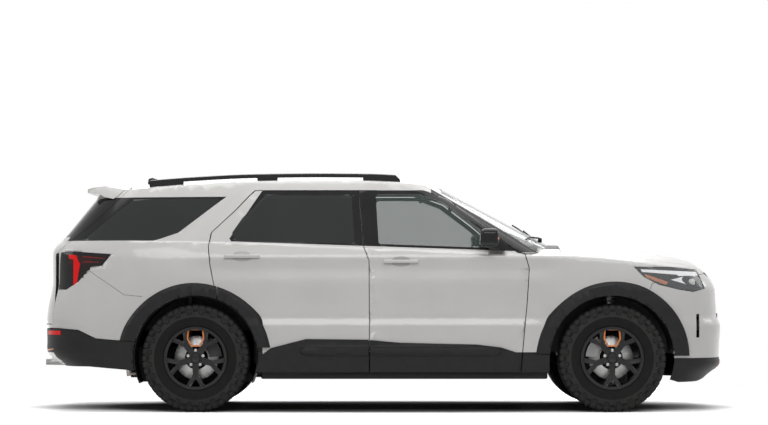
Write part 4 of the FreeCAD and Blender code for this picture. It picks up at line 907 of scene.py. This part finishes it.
mirrorSkin = [skin["mirror_right"]]
glass = dict(y=-1.031, z=1.258, wide=0.077, tall=0.046, corner=0.1)
mirrorFace = patch("mirror_face", rectangle(-1.108, -0.954, 1.212, 1.304), "rear", mirrorSkin, lift=0.0006,
        thickness=0.0012, cells=(20, 14))
for vertex in mirrorFace.data.vertices:  # the glass has rounded corners
    across, up = (vertex.co.y - glass["y"]) / glass["wide"], (vertex.co.z - glass["z"]) / glass["tall"]
    squeeze = 1 - glass["corner"] * (across * across * up * up)
    vertex.co.y = glass["y"] + (vertex.co.y - glass["y"]) * squeeze
    vertex.co.z = glass["z"] + (vertex.co.z - glass["z"]) * squeeze
bothSides(mirrorFace, "mirror_face", "mirrorFace", "front_door", 30)
signal = patch("mirror_signal", [(-1.118, 1.252), (-0.985, 1.262), (-0.985, 1.272), (-1.118, 1.264)], "front",
        mirrorSkin, lift=0.001, thickness=0.003, cells=(24, 3))
bothSides(signal, "mirror_signal", "amberLamp", "front_door", 40)
print("stage: handles and mirrors made")

# Wipers lie on the glass

glassSkins = [skin["windscreen"], skin["cowl_panel"], skin["hood"]]


def onScreen(x, y, above):
    found = touch(glassSkins, (x, y, 3.0), (0, 0, -1))
    return (found[0] + found[1] * above) if found else Vector((x, y, 1.2))


frontWipers = {"wiper_right": dict(pivot=(1.175, -0.22), tip=(1.06, -0.72)),
        "wiper_left": dict(pivot=(1.175, 0.42), tip=(0.985, -0.2))}
for name, wiper in frontWipers.items():
    (px, py), (tx, ty) = wiper["pivot"], wiper["tip"]
    steps = [i / 8 for i in range(9)]
    arm = tube("arm", [onScreen(px + (tx - px) * t * 0.62, py + (ty - py) * t * 0.62, 0.02 - 0.004 * t)
            for t in steps], 0.006)
    blade = tube("blade", [onScreen(px + (tx - px) * (0.12 + 0.88 * t) - 0.02, py + (ty - py) * (0.12 + 0.88 * t),
            0.009) for t in steps], 0.0055)
    base = onScreen(px, py, 0.0)
    boss = roundBar("boss", base - Vector((0, 0, 0.01)), base + Vector((0, 0, 0.024)), 0.015, 24, 0.003)
    dressed(joined(name, [arm, blade, boss]), "trimBlack", "root", 45)

gateSkins = [skin["liftgate_glass"], skin["liftgate"]]


def onGate(y, z, above):
    found = touch(gateSkins, (-4.0, y, z), (1, 0, 0))
    return found[0] + found[1] * above


rearArm = tube("arm", [onGate(0.44 * t, 1.318 + 0.1 * t, 0.018) for t in (0, 0.2, 0.4, 0.6)], 0.006)
rearBlade = tube("blade", [onGate(0.06 + 0.4 * t, 1.345 + 0.085 * t, 0.008) for t in (0, 0.25, 0.5, 0.75, 1)], 0.005)
hubSpot = onGate(0.0, 1.312, 0.0)
hubOut = onGate(0.0, 1.312, 0.028)
rearBoss = roundBar("boss", hubSpot, hubOut, 0.022, 24, 0.005)
dressed(joined("rear_wiper", [rearArm, rearBlade, rearBoss]), "trimBlack", "liftgate", 45)
print("stage: wipers made")

# Front: blank plate, skid plate, orange marks in the grille, tow eyes; rear: blank plate, reflectors, skid line

noseSkins = [skin["front_bumper"], skin["front_bumper_lower"], skin["grille"], skin["intake_mesh"]]
tailSkins = [skin["liftgate"], skin["rear_bumper"], skin["rear_bumper_lower"]]


def flatPlate(name, x, half, low, high, depth, finish, body):
    corners = [(x, y, z) for y, z in rectangle(-half, half, low, high)]
    return dressed(plate(name, corners, (depth, 0, 0), 0.003), finish, body, 30)


frontX = touch(noseSkins, (4, 0, 0.56), (-1, 0, 0))[0].x
flatPlate("front_plate_holder", frontX - 0.002, 0.165, 0.548, 0.712, -0.012, "trimBlack", "root")
flatPlate("front_plate", frontX + 0.0005, 0.152, 0.556, 0.704, -0.003, "plateBlank", "root")
rearX = touch(tailSkins, (-4, 0, 0.86), (1, 0, 0))[0].x
flatPlate("rear_plate_holder", rearX + 0.01, 0.168, 0.778, 0.946, -0.014, "trimBlack", "liftgate")
flatPlate("rear_plate", rearX - 0.0045, 0.152, 0.788, 0.936, 0.003, "plateBlank", "liftgate")

skid = patch("front_skid", [(-0.34, 0.238), (0.34, 0.238), (0.42, 0.372), (-0.42, 0.372)], "front", noseSkins,
        lift=0.004, thickness=0.008, cells=(40, 8))
dressed(skid, "silver")
tailLip = dict(skin=skin["rear_bumper_lower"], z=0.43, half=0.78, x=-2.36)
cutLevel(tailLip["skin"], tailLip["z"])
for sign in (-1, 1):
    cutAlong(tailLip["skin"], (0, sign * tailLip["half"], 0), (0, 1, 0))
paint(tailLip["skin"], "silver", lambda c, n: c.z < tailLip["z"] and abs(c.y) < tailLip["half"] and c.x < tailLip["x"])
grilleMarks = {"grille_mark": (-0.552, -0.52, 0.872, 0.936), "grille_mark_top": (-0.552, -0.47, 0.93, 0.942),
        "tow_eye": (-0.545, -0.505, 0.3, 0.365)}
for stem, box in grilleMarks.items():
    mark = patch(stem, rectangle(*box), "front", noseSkins, lift=0.0025, thickness=0.005, cells=(10, 10))
    bothSides(mark, stem, "orange")
# The rear reflectors take the lamp red and so glow like the lamps, though they are no lamps: painted light.
for stem, corners, finish in (
        ("rear_reflector", rectangle(-0.86, -0.7, 0.56, 0.59), "lampRed"),
        ("rear_skid_mark", [(-0.79, 0.45), (-0.56, 0.432), (-0.56, 0.441), (-0.79, 0.46)], "orange")):
    mark = patch(stem, corners, "rear", tailSkins, lift=0.003, thickness=0.005, cells=(12, 8))
    bothSides(mark, stem, finish)
stopLamp = patch("high_stop_lamp", rectangle(-0.16, 0.16, 1.612, 1.622), "rear", [skin["liftgate"]], lift=0.001,
        thickness=0.004, cells=(16, 2))
dressed(stopLamp, "lampRed", "liftgate", 40)
# A dark sheet just behind the intake mesh, so that the open space behind it reads dark instead of showing the floor
# through it: painted shade.
meshLow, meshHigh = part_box("intake_mesh")
meshSize = meshHigh - meshLow
shade = softBlock("intake_shade", (meshLow.x - 0.012, 0, (meshLow.z + meshHigh.z) / 2),
        (0.004, meshSize.y - 0.02, meshSize.z - 0.01), 0.001)
dressed(shade, "trimBlack", "root", 40)
print("stage: nose and tail details made")

# Roof: aerial fin

roofTop = touch([skin["roof_panel"]], (-1.72, 0, 3), (0, 0, -1))[0].z
fin = plate("aerial_fin", [(-1.8, 0.0, roofTop - 0.004), (-1.64, 0.0, roofTop - 0.004), (-1.7, 0.0, roofTop + 0.03),
        (-1.765, 0.0, min(roofTop + 0.052, 1.748)), (-1.795, 0.0, roofTop + 0.044)], (0, 0.034, 0), 0.01)
fin.data.transform(Matrix.Translation((0, -0.017, 0)))
dressed(fin, "glossBlack", "root", 50)
print("stage: roof details made")

# Rear wheel houses: a curved liner and the inner wall that it stands on

house = dict(radius=0.447, inner=0.6, outer=0.95, low=-24, high=204, steps=38)
house.update(turn=house["high"] - house["low"], depth=house["outer"] - house["inner"])


def archPoint(degrees, y):
    turn, radius = math.radians(degrees), house["radius"]
    return Vector((wheel["rearX"] + radius * math.cos(turn), y, wheel["axleZ"] + radius * math.sin(turn)))


liner = newGrid("rear_liner", (house["steps"], 3))
for vertex in liner.data.vertices:
    turn = house["low"] + (vertex.co.x + 1) / 2 * house["turn"]
    depth = house["inner"] + (vertex.co.y + 1) / 2 * house["depth"]
    vertex.co = archPoint(turn, -depth)
finishWith(liner, "SOLIDIFY", thickness=0.003, offset=0)
turns = [house["low"] + i * house["turn"] / house["steps"] for i in range(house["steps"] + 1)]
wall = plate("liner_wall", [archPoint(turn, -house["inner"]) for turn in turns], (0, 0.003, 0))
bothSides(joined("rear_liner", [liner, wall]), "rear_wheel_liner", "trimBlack")
print("stage: rear wheel houses made")

# Roof spoiler: a crowned wing that grows out of the gate's top edge

wing = dict(front=-1.905, tip=-2.22, sweep=0.03, thin=0.014, deep=0.058, plate=0.6, fade=0.145, lean=0.085)
wingTop = [(-1.905, 1.6755), (-2.0, 1.665), (-2.05, 1.6575), (-2.1, 1.652), (-2.15, 1.646), (-2.22, 1.629)]
blade = newGrid("roof_wing", (20, 56))


def wingSide(x, z):  # how far the wing's side stands from the middle: a little proud of the body
    return 0.69 + 0.25 * (x + 1.9) - 0.8 * (z - 1.59)


upper, lower = [], []
for vertex in blade.data.vertices:
    back, across = (vertex.co.x + 1) / 2, vertex.co.y
    y = across * 0.66
    tip = wing["tip"] + wing["sweep"] * (abs(y) / wing["plate"]) ** 3
    x = wing["front"] + (tip - wing["front"]) * back
    shared = wing["front"] + (wing["tip"] - wing["front"]) * back
    for (ax, az), (bx, bz) in zip(wingTop, wingTop[1:]):
        if bx - 1e-6 <= shared <= ax + 1e-6:
            z = az + (bz - az) * (ax - shared) / (ax - bx)
            break
    z -= 0.1 * y * y * max(0, 1 - (wing["front"] - x) / wing["fade"]) + 1.2 * max(0, abs(y) - wing["plate"]) ** 2
    upper.append(Vector((x, across * wingSide(x, z), z)))
    side = min(1, max(0, (abs(y) - wing["plate"]) / 0.05))
    drop = wing["thin"] + wing["deep"] * side * min(1, (1 - back) / 0.6) ** 0.8
    x -= wing["lean"] * (1 - back) * side
    lower.append(Vector((x, across * wingSide(x, z - drop), z - drop)))
finishWith(blade, "SOLIDIFY", thickness=wing["thin"], offset=-1)
for vertex, place in zip(blade.data.vertices, upper + lower):
    vertex.co = place
turnOutward(blade)
finishWith(blade, "BEVEL", width=0.003, segments=2, limit_method="ANGLE", angle_limit=math.radians(50))
dressed(blade, "bodyPaint", "liftgate", 40)
print("stage: roof wing made")

# Raised rib along the doors' lower trim

rib = dict(z=0.445, half=0.028, radius=0.0035)
ribRuns = {"front_door": dict(square=-0.086, round=0.85), "rear_door": dict(square=-0.128, round=-0.61)}
for stem, run in ribRuns.items():
    shell = [skin[stem + "_trim_right"], skin[stem + "_right"]]
    way = 1 if run["round"] > run["square"] else -1
    length = run["round"] - run["square"]
    outline = [(run["square"] + length * t, rib["z"] - rib["half"]) for t in (0, 0.25, 0.5, 0.75)]
    for degrees in range(-90, 91, 30):
        turn = math.radians(degrees)
        x = run["round"] - way * rib["half"] * (1 - math.cos(turn))
        outline.append((x, rib["z"] + rib["half"] * math.sin(turn)))
    outline += [(run["square"] + length * t, rib["z"] + rib["half"]) for t in (0.75, 0.5, 0.25, 0)]
    places = []
    for x, z in outline:
        found = touch(shell, (x, -3, z), (0, 1, 0))
        places.append((x, found[0].y - 0.001 if found else -0.985, z))
    bothSides(tube("rib", places, rib["radius"], 4, 2), stem + "_rib", "glossBlack", stem, 50)
print("stage: door ribs made")

# Fuel door on the left rear quarter

flap = patch("fuel_door", rectangle(-1.9, -1.74, 0.985, 1.135), "left", [skin["side_frame_left"]], lift=0.0004,
        thickness=0.0016, cells=(12, 12))
dressed(flap, "bodyPaint", "root", 30)

# Cabin: screens, vents, visors, inside mirror, door arm rests and speakers

dashParts = {
    "centre_screen": (-0.115, 0.115, 0.905, 1.095, "screenGlass"),
    "driver_display": (0.265, 0.505, 1.035, 1.12, "screenGlass"),
    "centre_switches": (-0.115, 0.115, 0.872, 0.894, "glossBlack"),
    "vent_passenger": (-0.64, -0.52, 0.985, 1.035, "glossBlack"),
    "vent_driver": (0.54, 0.64, 0.985, 1.035, "glossBlack"),
    "vent_centre": (-0.26, -0.14, 0.985, 1.035, "glossBlack"),
    "glove_box": (-0.58, -0.18, 0.74, 0.9, "softTrim"),
}
for name, (*box, finish) in dashParts.items():
    panel = patch(name, rectangle(*box), "rear", [skin["dashboard"]], lift=0.003, thickness=0.006, cells=(16, 8))
    dressed(panel, finish)
for name, y in (("visor_passenger", -0.38), ("visor_driver", 0.38)):
    under = touch([skin["roof_panel"]], (0.36, y, 1.2), (0, 0, 1))
    z = (under[0].z if under else 1.6) - 0.022
    visor = softBlock(name, (0.345, y, z), (0.15, 0.36, 0.018), 0.008, turn=(0, math.radians(-16), 0), steps=3)
    dressed(visor, "headlining", "root", 40)
glassSpot = touch([skin["windscreen"]], (0.2, 0, 1.555), (1, 0, 0))
hold = (glassSpot[0] if glassSpot else Vector((0.58, 0, 1.555))) - Vector((0.012, 0, 0))
stalk = roundBar("stalk", hold, hold + Vector((-0.075, 0, -0.03)), 0.009, 20, 0.003)
backing = softBlock("backing", hold + Vector((-0.086, 0, -0.04)), (0.028, 0.25, 0.066), 0.01,
        turn=(0, math.radians(8), 0), steps=3)
dressed(joined("inside_mirror", [backing, stalk]), "softTrim", "root", 45)
rests = {
    "front_door": dict(x=0.32, length=0.56, z=0.835, speaker=(0.8, 0.5), pull=0.46),
    "rear_door": dict(x=-0.62, length=0.48, z=0.85, speaker=(-0.36, 0.52), pull=-0.5),
}
for stem, rest in rests.items():
    door = [skin[stem + "_right"]]
    inside = touch(door, (rest["x"], 0, rest["z"]), (0, -1, 0))
    y = inside[0].y + 0.03
    arm = softBlock("arm", (rest["x"], y, rest["z"]), (rest["length"], 0.062, 0.052), 0.016, steps=4)
    handle = roundBar("pull", (rest["pull"], y + 0.012, rest["z"] + 0.05), (rest["pull"] + 0.15, y + 0.012,
            rest["z"] + 0.075), 0.011, 20, 0.004)
    bothSides(joined("rest", [arm, handle]), stem + "_arm_rest", "softTrim", stem, 45)
    x, z = rest["speaker"]
    found = touch(door, (x, 0, z), (0, -1, 0))
    if found:
        ring = turned("speaker", [(0.0002, 0.004), (0.06, 0.004), (0.066, 0.008), (0.078, 0.01), (0.082, 0.0),
                (0.0002, 0.0)], (x, found[0].y, z), 40)
        bothSides(ring, stem + "_speaker", "trimBlack", stem, 40)
print("stage: cabin details made")
